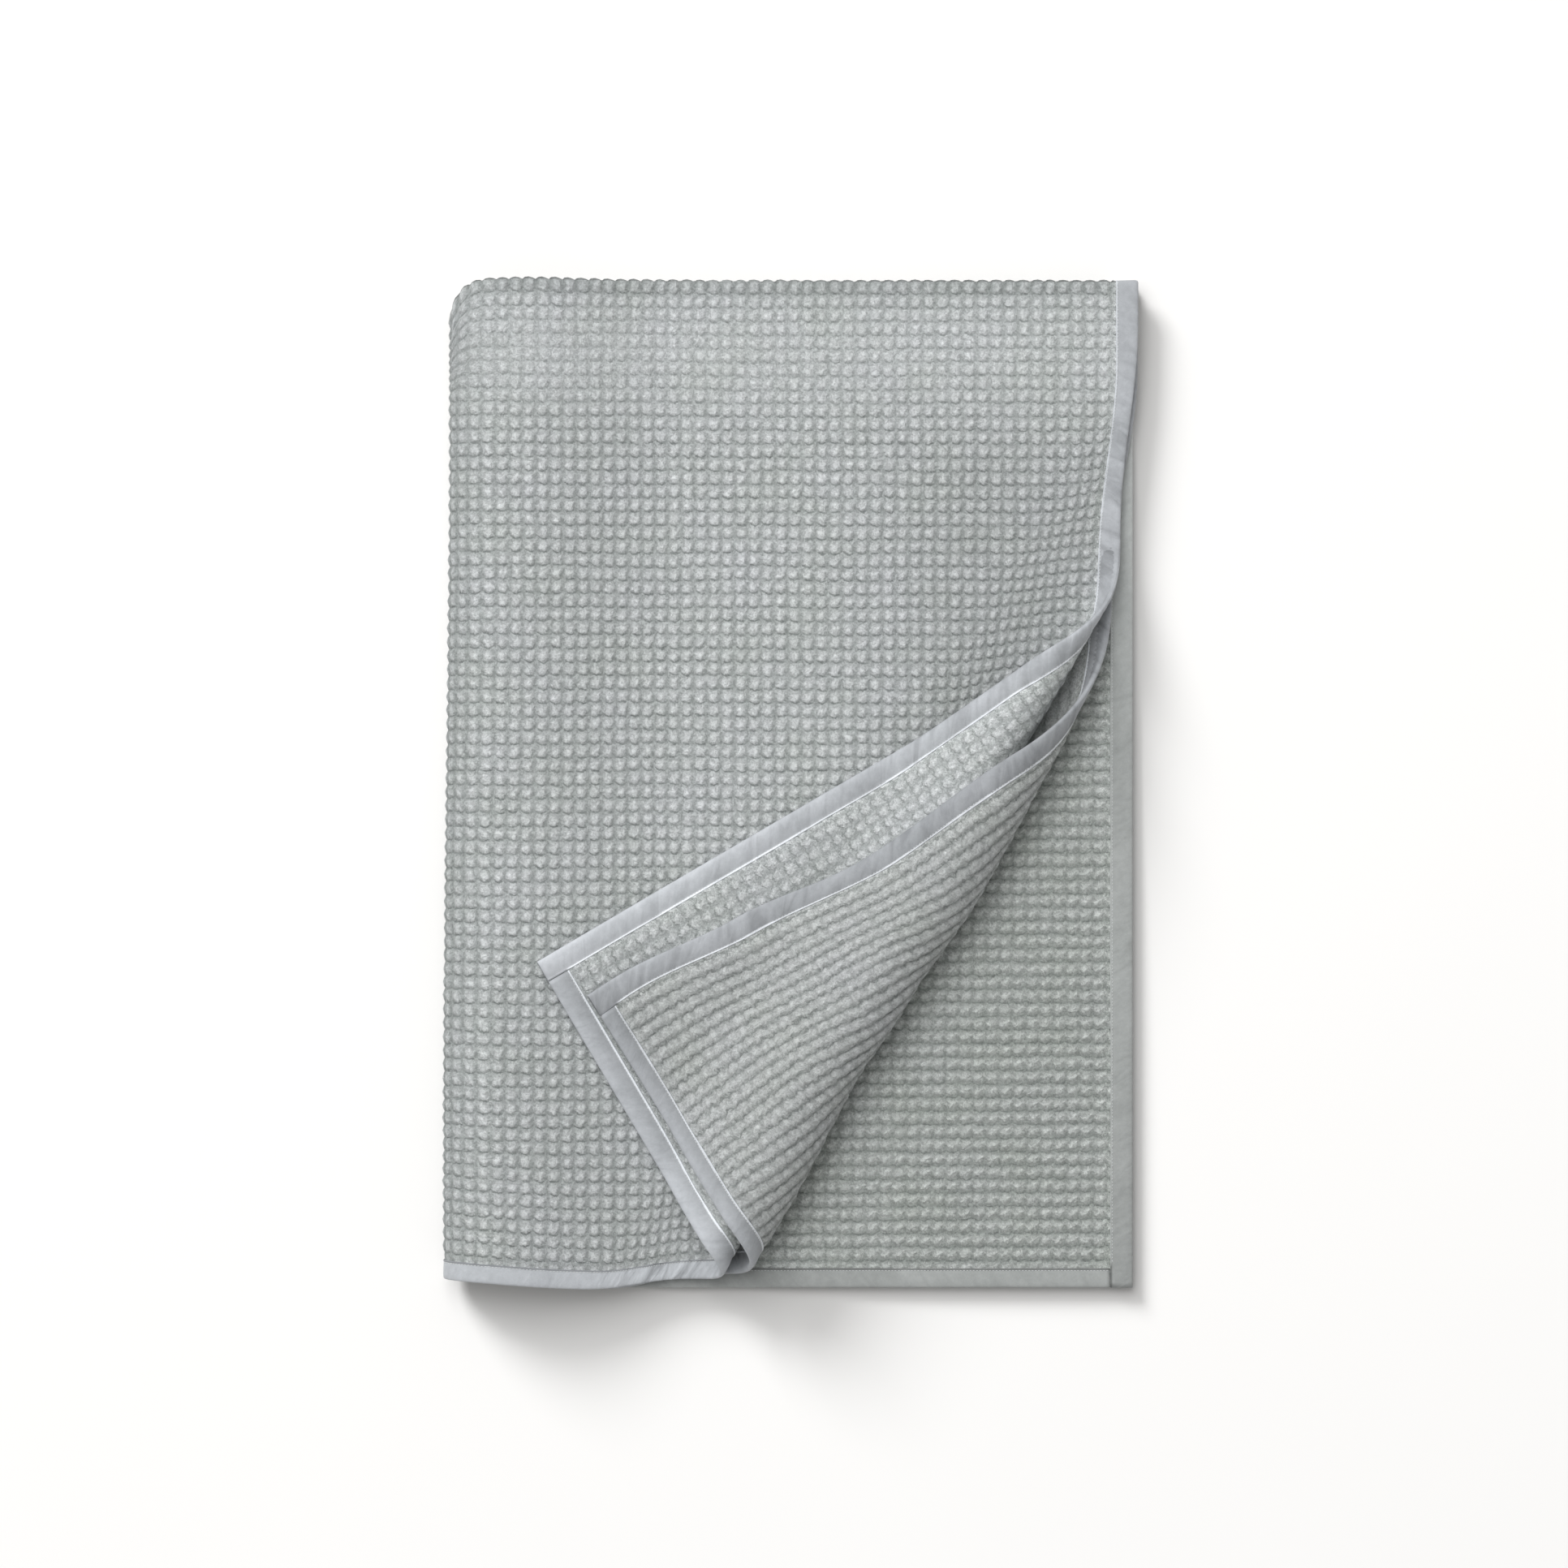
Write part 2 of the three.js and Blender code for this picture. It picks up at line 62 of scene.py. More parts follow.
# The corner rolled back: its axis, and for the top layer (-1) and the next one (1) the
# radius, the turn past half a circle, the radius of the run-out, the rise of the layers
# below it, the cloth gathered before it, its slide along the axis, and its crease as rows
# of (along, across)
AXIS = math.radians(60.15)
TX, TY = math.cos(AXIS), math.sin(AXIS)
NX, NY = math.sin(AXIS), -math.cos(AXIS)
ROLLS = {
    -1: dict(radius=20.5, over=30, settle=40, rise=PAIR, gather=18, drift=-12.2,
             crease=((-400, 184.8), (400, 184.8))),
    1: dict(radius=31, over=25, settle=60, rise=3 * PAIR, gather=26, drift=-15.8,
            crease=((-400, 214), (-300, 214), (-200, 210.5), (-110, 215.5), (0, 224),
                    (130, 221), (260, 217))),
}
GATHER_WIDTH = 95.0
CORNER_DROP, CORNER_SPREAD, CORNER_REACH, CORNER_X = 35.0, 9.0, 110.0, -304.0
LEFT_SLANT, NEAR_LEFT_LIFT, RIPPLE = 5.5, 9.0, 1.1

# Waffle weave: cells across and along, and the lines of the mesh inside a cell
CELLS_U, CELLS_V = 104, 148
PITCH_U, PITCH_V = WIDTH / CELLS_U, LENGTH / CELLS_V
LINES = np.array([0.0, 0.2, 0.5, 0.8])  # along a cell they start at its bulging side
STEPS = len(LINES)
LOW, DEPTH = 0.7, 2.3  # bottom of the grooves from the middle, height of the pillows
PLAIN = 2.0  # face of the cloth where nothing shows its cells
# What the cloth's material reads at each point
CLOTH_VALUES = ("height", "band", "rope", "shoulder", "reverse", "selvedge", "painted_shading", "calm", "lofty")
REVERSE_LEAST = 0.35  # how high the inner face's grooves reach, as a share of its pillows
HIDDEN_HEIGHT = 0.62  # height that the shading takes where the mesh is plain
RIM = 1.2  # from the cloth's cut edge to the last line of the mesh
PRESSED, LOFT = 20.2, 2.6  # flat so far from the cut edge, and then rising over so much
MARGIN = 10.0  # of finer mesh after a bend, and twice that before it
# How far the inner face shows from its edge, and how far the weave goes on under the roll
SHOWN_RIM, UNDER_NOSE = 56.0, 42.0

# Binding: what its top leg covers on the short edges, and the part of a leg that is its lip
TOP_LEG, LIP = 16.8, 1.45
# Painted light and shade of a strip, as its brightness on the uncovered layer, on the flap, on its
# other tops, elsewhere
SHORT_PAINTED_SHADING, LONG_PAINTED_SHADING = (0.8, 0.87, 1.06, 1.06), (0.82, 0.75, 0.9, 1.04)
# Painted highlight on the lip at the same places
SHORT_LIP_HIGHLIGHTS, LONG_LIP_HIGHLIGHTS = (0.35, 1.2, 0.9, 1.3), (0.35, 1.8, 0.9, 1.3)
# Painted shade on the lip where it lies in the dark line of a seam
SEAM_LIP_SHADE = -0.75  # where the lip lies in the dark line of a seam

# Stitches: distance from one to the next, the share a stitch covers, and its rings
STITCH_PITCH, STITCH_COVER = 2.9, 0.78
STITCH_RINGS = np.array([0.0, 0.18, 0.5, 0.82, 1.0])
STITCH_RADIUS = np.array([0.04, 0.26, 0.3, 0.26, 0.04])
STITCH_LIFT = np.array([-0.12, 0.12, 0.2, 0.12, -0.12])
STITCH_INSET, STITCH_FACE = 1.7, 1.78  # from the leg's inner edge, from the cloth's middle


def smooth(x):
    """0 up to x = 0, 1 from x = 1 on, and an even S between."""
    c = np.clip(x, 0.0, 1.0)
    return c * c * (3 - 2 * c)


def fold_path():
    """Arcs of the left fold, the length of the flat lower layer, and the end of the crown."""
    arcs, heading, x, z, s = [], math.pi, 0.0, LOWER_MID, 0.0
    for radius, turn in FOLD_ARCS:
        angle = math.radians(turn)
        arcs.append([radius, heading, x, z, s])
        after = heading - angle
        x += radius * (math.sin(heading) - math.sin(after))
        z += radius * (math.cos(after) - math.cos(heading))
        s += radius * angle
        heading = after
    shift = FOLD_LEFT - arcs[2][2]
    lower = LOWER_RIGHT - shift
    for arc in arcs:
        arc[2] += shift
        arc[4] += lower
    return arcs, lower, x + shift, z, s + lower


ARCS, LOWER_LENGTH, CROWN_X, CROWN_Z, CROWN_S = fold_path()
CROWN_LIFT = CROWN_Z - UPPER_MID
X_RATIO = (CROWN_S + UPPER_RIGHT - CROWN_X) / WIDTH
CROWN_U = CROWN_S / X_RATIO - HALF_W  # where the upper layers start on the flat panel
WALL_U = LOWER_LENGTH / X_RATIO - HALF_W  # where the lower layers end


def puff(x):
    """Height of the upper layers over their resting height beside the left fold."""
    return CROWN_LIFT * (1 - smooth((x - CROWN_X) / SETTLE))


def ripple(x, y):
    """Slight waves of the upper layers."""
    return RIPPLE * (1 + np.sin(x / 64 + 1.3) * np.sin(y / 87 + 0.4))


def section(u):
    """Across the long fold: x and z of the pair's middle, and the way out of the blanket."""
    s = (u + HALF_W) * X_RATIO
    x, z = LOWER_RIGHT - s, np.full_like(s, LOWER_MID)
    out_x, out_z = np.zeros_like(s), -np.ones_like(s)
    for radius, start, ax, az, a in ARCS:
        on = s >= a
        heading = start - (s - a) / radius
        x = np.where(on, ax + radius * (math.sin(start) - np.sin(heading)), x)
        z = np.where(on, az + radius * (np.cos(heading) - math.cos(start)), z)
        out_x = np.where(on, -np.sin(heading), out_x)
        out_z = np.where(on, np.cos(heading), out_z)
    on = s >= CROWN_S
    cx = CROWN_X + s - CROWN_S
    rise = puff(cx + 0.5) - puff(cx - 0.5)
    slope = rise / np.hypot(1, rise)
    return (np.where(on, cx, x), np.where(on, UPPER_MID + puff(cx), z),
            np.where(on, -slope, out_x), np.where(on, np.sqrt(1 - slope * slope), out_z))


def roll_shape(roll):
    """A rolled corner's section: its arc, the straight slide down and the arc onto the layer."""
    over, r = math.radians(roll["over"]), roll["radius"]
    top = r * (1 + math.cos(over)) - roll["rise"]
    slide = (top - roll["settle"] * (1 - math.cos(over))) / math.sin(over)
    arc_end = r * (math.pi + over)
    slide_end = arc_end + slide
    end = slide_end + roll["settle"] * over
    end_n = -r * math.sin(over) - slide * math.cos(over) - roll["settle"] * math.sin(over)
    return dict(roll, over=over, arc_end=arc_end, slide_end=slide_end, end=end, end_n=end_n,
                half=(end + end_n) / 2)


ROLL = {side: roll_shape(roll) for side, roll in ROLLS.items()}


def roll_profile(roll, s):
    """Place across the roll and height over the layer, s along the cloth from the roll's start."""
    r, over, settle = roll["radius"], roll["over"], roll["settle"]
    slide = np.clip(s, roll["arc_end"], roll["slide_end"]) - roll["arc_end"]
    n = -r * math.sin(over) - slide * math.cos(over)
    z = r * (1 + math.cos(over)) - slide * math.sin(over)
    rest = over - np.clip(s - roll["slide_end"], 0, roll["end"] - roll["slide_end"]) / settle
    n = n - settle * (math.sin(over) - np.sin(rest)) - np.maximum(s - roll["end"], 0)
    z = z - settle * (np.cos(rest) - math.cos(over))
    on_arc = s <= roll["arc_end"]
    return np.where(on_arc, r * np.sin(s / r), n), np.where(on_arc, r * (1 - np.cos(s / r)), z)


def roll_start(roll, t):
    """Where the roll starts, at t along its axis."""
    rows = roll["crease"]
    n = np.full_like(t, rows[0][1])
    for (t0, n0), (t1, n1) in zip(rows, rows[1:]):
        n = np.where(t > t0, n0 + (n1 - n0) * smooth((t - t0) / (t1 - t0)), n)
    return n - roll["half"] + roll["gather"] / 2


def roll_back(roll, level, x, y, z):
    """Points of the flat upper layers, carried into the roll."""
    t, n = TX * x + TY * y, NX * x + NY * y
    start = roll_start(roll, t)
    s = n - start
    pn, pz = roll_profile(roll, np.maximum(s, 0))
    gathered = n - roll["gather"] * smooth(1 + s / GATHER_WIDTH)
    n2 = np.where(s > 0, start - roll["gather"] + pn, gathered)
    t2 = t + roll["drift"] * smooth(s / roll["end"])
    x2, y2 = TX * t2 + NX * n2, TY * t2 + NY * n2
    base = np.where(s > 0, level, z - puff(x) - ripple(x, y))
    still = s <= -GATHER_WIDTH
    return (np.where(still, x, x2), np.where(still, y, y2),
            np.where(still, z, base + pz + puff(x2) + ripple(x2, y2)))


def left_side(x, y, z):
    """The left edge's slant, its short foot, and the drawn-in corner where both folds meet."""
    left = smooth((-100 - x) / 205)
    drop = CORNER_DROP * np.exp(-np.maximum(x - CORNER_X, 0) / CORNER_SPREAD)
    x = x + LEFT_SLANT * left * smooth((y + 300) / 650)
    y = y - drop * smooth((y - FAR_Y + CORNER_REACH) / CORNER_REACH)
    y = y + NEAR_LEFT_LIFT * left * left * smooth((-260 - y) / 180)
    return np.stack([x, y, z], -1)


def middle(u, v):
    """Middle of the folded cloth, in millimetres, for places on the flat panel."""
    px, pz, out_x, out_z = section(u)
    beyond = np.abs(v) - TURN_ARC
    past = beyond > 0
    turn = np.clip(v / PAIR_HALF, -math.pi / 2, math.pi / 2)
    across = np.where(past, -np.sign(v) * PAIR_HALF, -PAIR_HALF * np.sin(turn))
    y = np.where(past, FAR_Y - beyond * Y_RATIO, FAR_Y + PAIR_HALF * np.cos(turn))
    x, z = px + out_x * across, pz + out_z * across
    z = z + smooth((u - CROWN_U) / 40) * ripple(x, y)
    rolled = (u >= CROWN_U) & past
    for side, roll in ROLL.items():
        on = rolled & (np.sign(v) == side)
        bx, by, bz = roll_back(roll, UPPER_MID + across, x, y, z)
        x, y, z = np.where(on, bx, x), np.where(on, by, y), np.where(on, bz, z)
    return left_side(x, y, z)


def place(u, v, offset):
    """Points offset from the middle of the cloth towards its outer face, in metres."""
    u, v, offset = np.broadcast_arrays(*(np.asarray(part, float) for part in (u, v, offset)))
    step = 0.05  # for the slopes
    du = middle(u + step, v) - middle(u - step, v)
    dv = middle(u, v + step) - middle(u, v - step)
    normal = np.cross(du, dv)
    normal /= np.linalg.norm(normal, axis=-1, keepdims=True)
    return (middle(u, v) + normal * offset[..., None]) * MM


def into_roll(side, u, v):
    """How far a flat point lies beyond the start of its roll, and its place along and across."""
    x = CROWN_X + (u - CROWN_U) * X_RATIO
    y = FAR_Y - (np.abs(v) - TURN_ARC) * Y_RATIO
    t, n = TX * x + TY * y, NX * x + NY * y
    return n - roll_start(ROLL[side], t), t, n


def beyond_nose(u, v):
    """How far a point of the lowest pair lies beyond the nose of the big roll."""
    x = LOWER_RIGHT - (u + HALF_W) * X_RATIO
    y = FAR_Y - (np.abs(v) - TURN_ARC) * Y_RATIO
    roll = ROLL[1]
    return NX * x + NY * y - roll_start(roll, TX * x + TY * y) + roll["gather"] - roll["radius"]


def under_flap(u, v, margin):
    """True where the turned corner of the top layer lies over it."""
    roll = ROLL[-1]
    s, t, n = into_roll(-1, u, v)
    start = n - s
    out, _ = roll_profile(roll, np.maximum(s, 0))
    out = np.where(s > 0, out, s + roll["gather"] * (1 - smooth(1 + s / GATHER_WIDTH)))
    way = np.linspace(roll["radius"] * math.pi / 2, roll["end"] + 600, 400)
    over = np.interp(-out, -roll_profile(roll, way)[0], way)
    source_t, source_n = t - roll["drift"] * smooth(over / roll["end"]), start + over
    x, y = TX * source_t + NX * source_n, TY * source_t + NY * source_n
    covered = (x < UPPER_RIGHT - margin) & (y > NEAR_Y + margin)
    return covered | (s > roll["radius"] * math.pi / 2)


def from_edge(u, v):
    """Distance from the nearest cut edge."""
    return np.minimum(HALF_W - np.abs(u), HALF_L - np.abs(v))


def lattice_noise(rng, shape, cell):
    """Soft random field over a lattice, from about -1 to 1, with bumps about one cell wide."""
    rows, cols = int(shape[0] / cell) + 3, int(shape[1] / cell) + 3
    coarse = rng.uniform(-1, 1, (rows, cols))
    i, j = np.arange(shape[0]) / cell, np.arange(shape[1]) / cell
    i0, j0 = i.astype(int), j.astype(int)
    fi, fj = smooth(i - i0)[:, None], smooth(j - j0)[None, :]
    a, b = coarse[i0][:, j0], coarse[i0 + 1][:, j0]
    c, d = coarse[i0][:, j0 + 1], coarse[i0 + 1][:, j0 + 1]
    return (a * (1 - fi) + b * fi) * (1 - fj) + (c * (1 - fi) + d * fi) * fj


def calm_place(u, v):
    """1 where the top layer is stretched flat below the far fold, and its cells are faint."""
    below_fold = np.exp(-((v + 66) / 52) ** 2)
    return below_fold * (u > WALL_U) * (1 - 0.45 * smooth((u - 100) / 400))


def cloth_lattice():
    """Flat coordinates of every line crossing of the mesh, and the height of the weave there."""
    rng = np.random.default_rng(7)
    ni, nj = CELLS_U * STEPS + 1, CELLS_V * STEPS + 1
    i, j = np.arange(ni), np.arange(nj)
    fu = LINES[i % STEPS]
    outer = (j // STEPS < CELLS_V // 2)[None, :]
    mirrored = np.concatenate([LINES[:1], 1 - LINES[:0:-1]])
    fv = np.where(outer, LINES[j % STEPS][None, :], mirrored[j % STEPS][None, :])
    u = np.broadcast_to((-HALF_W + (i // STEPS + fu) * PITCH_U)[:, None], (ni, nj)).copy()
    v = -HALF_L + ((j // STEPS)[None, :] + fv) * PITCH_V + 0 * u
    toward = np.where(outer, -1.0, 1.0)  # the way in which the cells bulge
    lean_way = np.where(u < CROWN_U, -1.0, 1.0)
    at_crease = j[None, :] % STEPS == 0
    # Place along the cell: 0 at the crease, small at the bulging side; fx is the place across
    f = np.where(at_crease, 0.0, np.where(outer, fv, 1 - fv))
    fx = fu[:, None] + 0 * f

    rope = np.where((u > 0) & ~outer, 1.0, 0.0)
    band = np.where((u < WALL_U) & ~outer, 1.0, 0.0)

    def scallop(at):
        """Bulge of a cell's line, in pitches: back at its ends and out at its middle."""
        return 0.9 * at * (1 - at) - 0.12

    near_crease = np.select([f < 0.3, f > 0.7], [1.0, 0.7], 0.4)
    on_shoulder = smooth((CROWN_U - u) / 40) * (v < 0)
    bulge = toward * (PITCH_V * scallop(fx)) * near_crease
    v += bulge * (1 - rope) * (1 - 0.35 * band) * (1 - 0.75 * on_shoulder)
    u += PITCH_U * scallop(f) * 0.6 * rope
    lean = np.where(at_crease, 0.0, f - 0.5)
    u += lean_way * PITCH_U * 0.22 * lean * (1 - rope)

    # Uneven rows: a slow wander and a quick one, for u and then for v
    wander_u, jitter_u, wander_v, jitter_v = [
        lattice_noise(rng, (ni, nj), bumps) for bumps in (26, 4, 30, 4)]
    free = smooth((from_edge(u, v) - 14) / 20)
    off_fold = smooth((np.abs(v) - 8) / 20)
    u += free * (0.9 * wander_u + 0.7 * jitter_u)
    v += free * off_fold * (1.0 * wander_v + 0.7 * jitter_v)

    def blend(plain, banded, roped):
        """One value for each of the three looks of the weave."""
        return plain * (1 - band - rope) + banded * band + roped * rope

    # Height of the lines across a cell and along it, for the three looks
    edge_x, side_x = fx == 0, fx != 0.5
    edge_f, low_f, mid_f = f == 0, f < 0.3, f < 0.7
    high_x = fx > 0.7
    across = blend(np.select([edge_x, side_x], [0.36, 0.68], 1.0),
                   np.select([edge_x, side_x], [0.6, 0.9], 1.0),
                   np.select([edge_x, high_x, side_x], [0.2, 0.7, 0.88], 1.0))
    along = blend(np.select([edge_f, low_f, mid_f], [0.3, 0.76, 1.0], 0.56),
                  np.select([edge_f, low_f, mid_f], [0.2, 0.62, 1.0], 0.7),
                  np.select([edge_f, low_f, mid_f], [0.72, 0.9, 1.0], 0.9))

    # Both folds open the grooves; the row at the very turn stays round
    far_fold = np.exp(-(v / 14) ** 2)
    near_fold = np.minimum(far_fold + on_shoulder, 1)
    along = along - near_fold * np.select([edge_f, low_f, mid_f], [0.2, 0.2, 0.0], 0.0)
    along = np.where(np.abs(v) < 4, 0.95, along)
    across = across - far_fold * np.select([edge_x, side_x], [0.4, 0.12], 0.0)
    across = across - on_shoulder * np.select([edge_x, side_x], [0.15, 0.05], 0.0)

    # Grooves are shallow on the stretched top layer and deep at the folds, bands and ropes
    depth = 0.75 + 0.25 * np.minimum(near_fold + band + rope, 1) - 0.28 * calm_place(u, v)
    size = 1 + 0.16 * lattice_noise(rng, (ni, nj), 4) + 0.1 * lattice_noise(rng, (ni, nj), 14)
    height = 1 - depth * (1 - across * along * size)
    on_nose = into_roll(1, u, v)[0] - 1.75 * ROLL[1]["radius"]
    nose = np.exp(-(on_nose / 26) ** 2) * rope
    height = height * (1 + 0.45 * nose) - 0.12 * nose

    full = smooth((from_edge(u, v) - PRESSED) / LOFT)
    u = np.clip(u, RIM - HALF_W, HALF_W - RIM)
    v = np.clip(v, RIM - HALF_L, HALF_L - RIM)
    cell_u = (i // STEPS)[:, None] + fx
    along_v = (j // STEPS)[None, :] + fv
    cell_v = np.where(outer, along_v, CELLS_V - along_v) + 0 * u
    swap = rope > 0
    cell = np.stack([np.where(swap, cell_v, cell_u), np.where(swap, cell_u, cell_v)], -1)
    return u, v, height, full, cell, band, rope


def cell_middles():
    """Flat place of the middle of every cell, and the cells at the far fold."""
    u = (-HALF_W + (np.arange(CELLS_U) + 0.5) * PITCH_U)[:, None] + np.zeros((1, CELLS_V))
    v = (-HALF_L + (np.arange(CELLS_V) + 0.5) * PITCH_V)[None, :] + np.zeros((CELLS_U, 1))
    return u, v, np.abs(v) < 1.2 * PITCH_V


def fine_cells():
    """Cells whose weave is seen, on the outer and on the inner face."""
    u, v, turn = cell_middles()
    upper = u > CROWN_U
    top = (u > WALL_U - 14) & (v < 0) & ~(upper & under_flap(u, v, BINDING_WIDTH))
    flap = upper & (v > 0) & (into_roll(1, u, v)[0] > 0.3 * math.pi * ROLL[1]["radius"])
    bare = (u < WALL_U) & (v > 0) & (beyond_nose(u, v) > -UNDER_NOSE)
    rim = from_edge(u, v) < SHOWN_RIM
    turned = into_roll(-1, u, v)[0] > 0.5 * math.pi * ROLL[-1]["radius"]
    return top | flap | bare | turn, upper & (v < 0) & turned & rim


def bent_cells():
    """Cells that need lines across them to follow a fold, though their weave isn't seen."""
    u, v, turn = cell_middles()
    wall = (u > WALL_U - 8) & (u < CROWN_U + 8)
    rolled = np.zeros_like(wall)
    for side, roll in ROLL.items():
        s = into_roll(side, u, v)[0]
        near_roll = (s > -2 * MARGIN) & (s < roll["end"] + MARGIN)
        rolled |= (u > CROWN_U) & (np.sign(v) == side) & near_roll
    return wall, rolled, turn


def rectangles(mask, step_u, step_v):
    """Rectangles of the lattice that fill the cells of a mask: first corner and size of each."""
    cells = np.argwhere(mask) * STEPS
    inner = np.array([(p, q) for p in range(0, STEPS, step_u) for q in range(0, STEPS, step_v)])
    corners = (cells[:, None, :] + inner[None, :, :]).reshape(-1, 2)
    return np.concatenate([corners, np.tile([step_u, step_v], (len(corners), 1))], axis=1)


def blocks(mask, size):
    """Square blocks of whole cells that lie inside a mask, and what is left of the mask."""
    grid = mask.reshape(CELLS_U // size, size, CELLS_V // size, size).all(axis=(1, 3))
    corners = np.argwhere(grid) * size * STEPS
    left = mask & ~np.repeat(np.repeat(grid, size, axis=0), size, axis=1)
    return np.concatenate([corners, np.full_like(corners, size * STEPS)], axis=1), left


def outline_of(a, b, du, dv):
    """Line crossings around a rectangle of the lattice, in order."""
    ring = [(k, b) for k in range(a, a + du)] + [(a + du, k) for k in range(b, b + dv)]
    ring += [(k, b + dv) for k in range(a + du, a, -1)]
    return ring + [(a, k) for k in range(b + dv, b, -1)]


class Net:
    """One face of the cloth: rectangles of the lattice at the fineness each cell needs."""

    def __init__(self, fine, wall, rolled, turn):
        halved = (rolled | (wall & turn)) & ~fine
        wall, turn = wall & ~fine & ~halved, turn & ~fine & ~halved
        plain = ~(fine | halved | wall | turn)
        self.small = rectangles(fine, 1, 1)
        wide, plain = blocks(plain, 4)
        pairs, plain = blocks(plain, 2)
        self.large = np.concatenate([
            rectangles(halved, 2, 2), rectangles(wall, 2, STEPS), rectangles(turn, STEPS, 2),
            wide, pairs, rectangles(plain, STEPS, STEPS)])
        shape = (CELLS_U * STEPS + 1, CELLS_V * STEPS + 1)
        self.used, self.shown = np.zeros(shape, bool), np.zeros(shape, bool)
        for a, b, du, dv in np.concatenate([self.small, self.large]):
            self.used[a:a + du + 1:du, b:b + dv + 1:dv] = True
        for a, b in np.argwhere(fine) * STEPS:
            self.shown[a:a + STEPS + 1, b:b + STEPS + 1] = True

    def faces(self, index):
        a, b = self.small[:, 0], self.small[:, 1]
        corners = [index[a, b], index[a + 1, b], index[a + 1, b + 1], index[a, b + 1]]
        made = np.stack(corners, -1).tolist()
        for a, b, du, dv in self.large.tolist():
            made.append([int(index[k]) for k in outline_of(a, b, du, dv) if self.used[k]])
        return made


def mesh_object(name, points, faces, material):
    """A smooth shaded object in the scene."""
    mesh = bpy.data.meshes.new(name)
    mesh.from_pydata(points.tolist() if isinstance(points, np.ndarray) else points, [], faces)
    mesh.update()
    mesh.polygons.foreach_set("use_smooth", np.ones(len(mesh.polygons), bool))
    mesh.materials.append(material)
    obj = bpy.data.objects.new(name, mesh)
    bpy.context.scene.collection.objects.link(obj)
    return obj


def add_map(obj, name, places):
    """UV map from one place for each vertex."""
    layer = obj.data.uv_layers.new(name=name)
    loops = np.zeros(len(obj.data.loops), np.int32)
    obj.data.loops.foreach_get("vertex_index", loops)
    layer.data.foreach_set("uv", places[loops].astype(np.float32).ravel())


def add_attribute(obj, name, values):
    """One number for each vertex, which a material reads."""
    attribute = obj.data.attributes.new(name, "FLOAT", "POINT")
    attribute.data.foreach_set("value", values.astype(np.float32))


def painted_cloth_shading(u, v):
    """Painted light and shade: slow changes of the cloth's brightness over the parts that are seen."""
    # The top layer: painted light below the far fold, painted shade to the right and near the foot
    paler = 0.98 + 0.05 * np.exp(-((v + 60) / 50) ** 2)
    right = 0.13 * smooth((u - 330) / 160) * smooth((-v - 70) / 130)
    near = 0.05 * smooth((-v - 500) / 200)
    painted_shading = np.where((u > CROWN_U) & (v < 0), paler - right - near, 1.0)
    # Painted shade on the flap over its bend
    on_bend = into_roll(1, u, v)[0] - 1.7 * ROLL[1]["radius"]
    bend = 0.2 * np.exp(-(on_bend / 55) ** 2)
    painted_shading = painted_shading - np.where((u > CROWN_U) & (v > 0), bend, 0)
    # The uncovered layer: a painted shadow where the roll touches it, painted light beside that
    beyond = beyond_nose(u, v)
    lit = 0.28 * (1 - smooth(beyond / 150)) - 0.34 * np.exp(-(np.maximum(beyond, 0) / 17) ** 2)
    return painted_shading + np.where((u < WALL_U) & (v > 0), lit, 0)


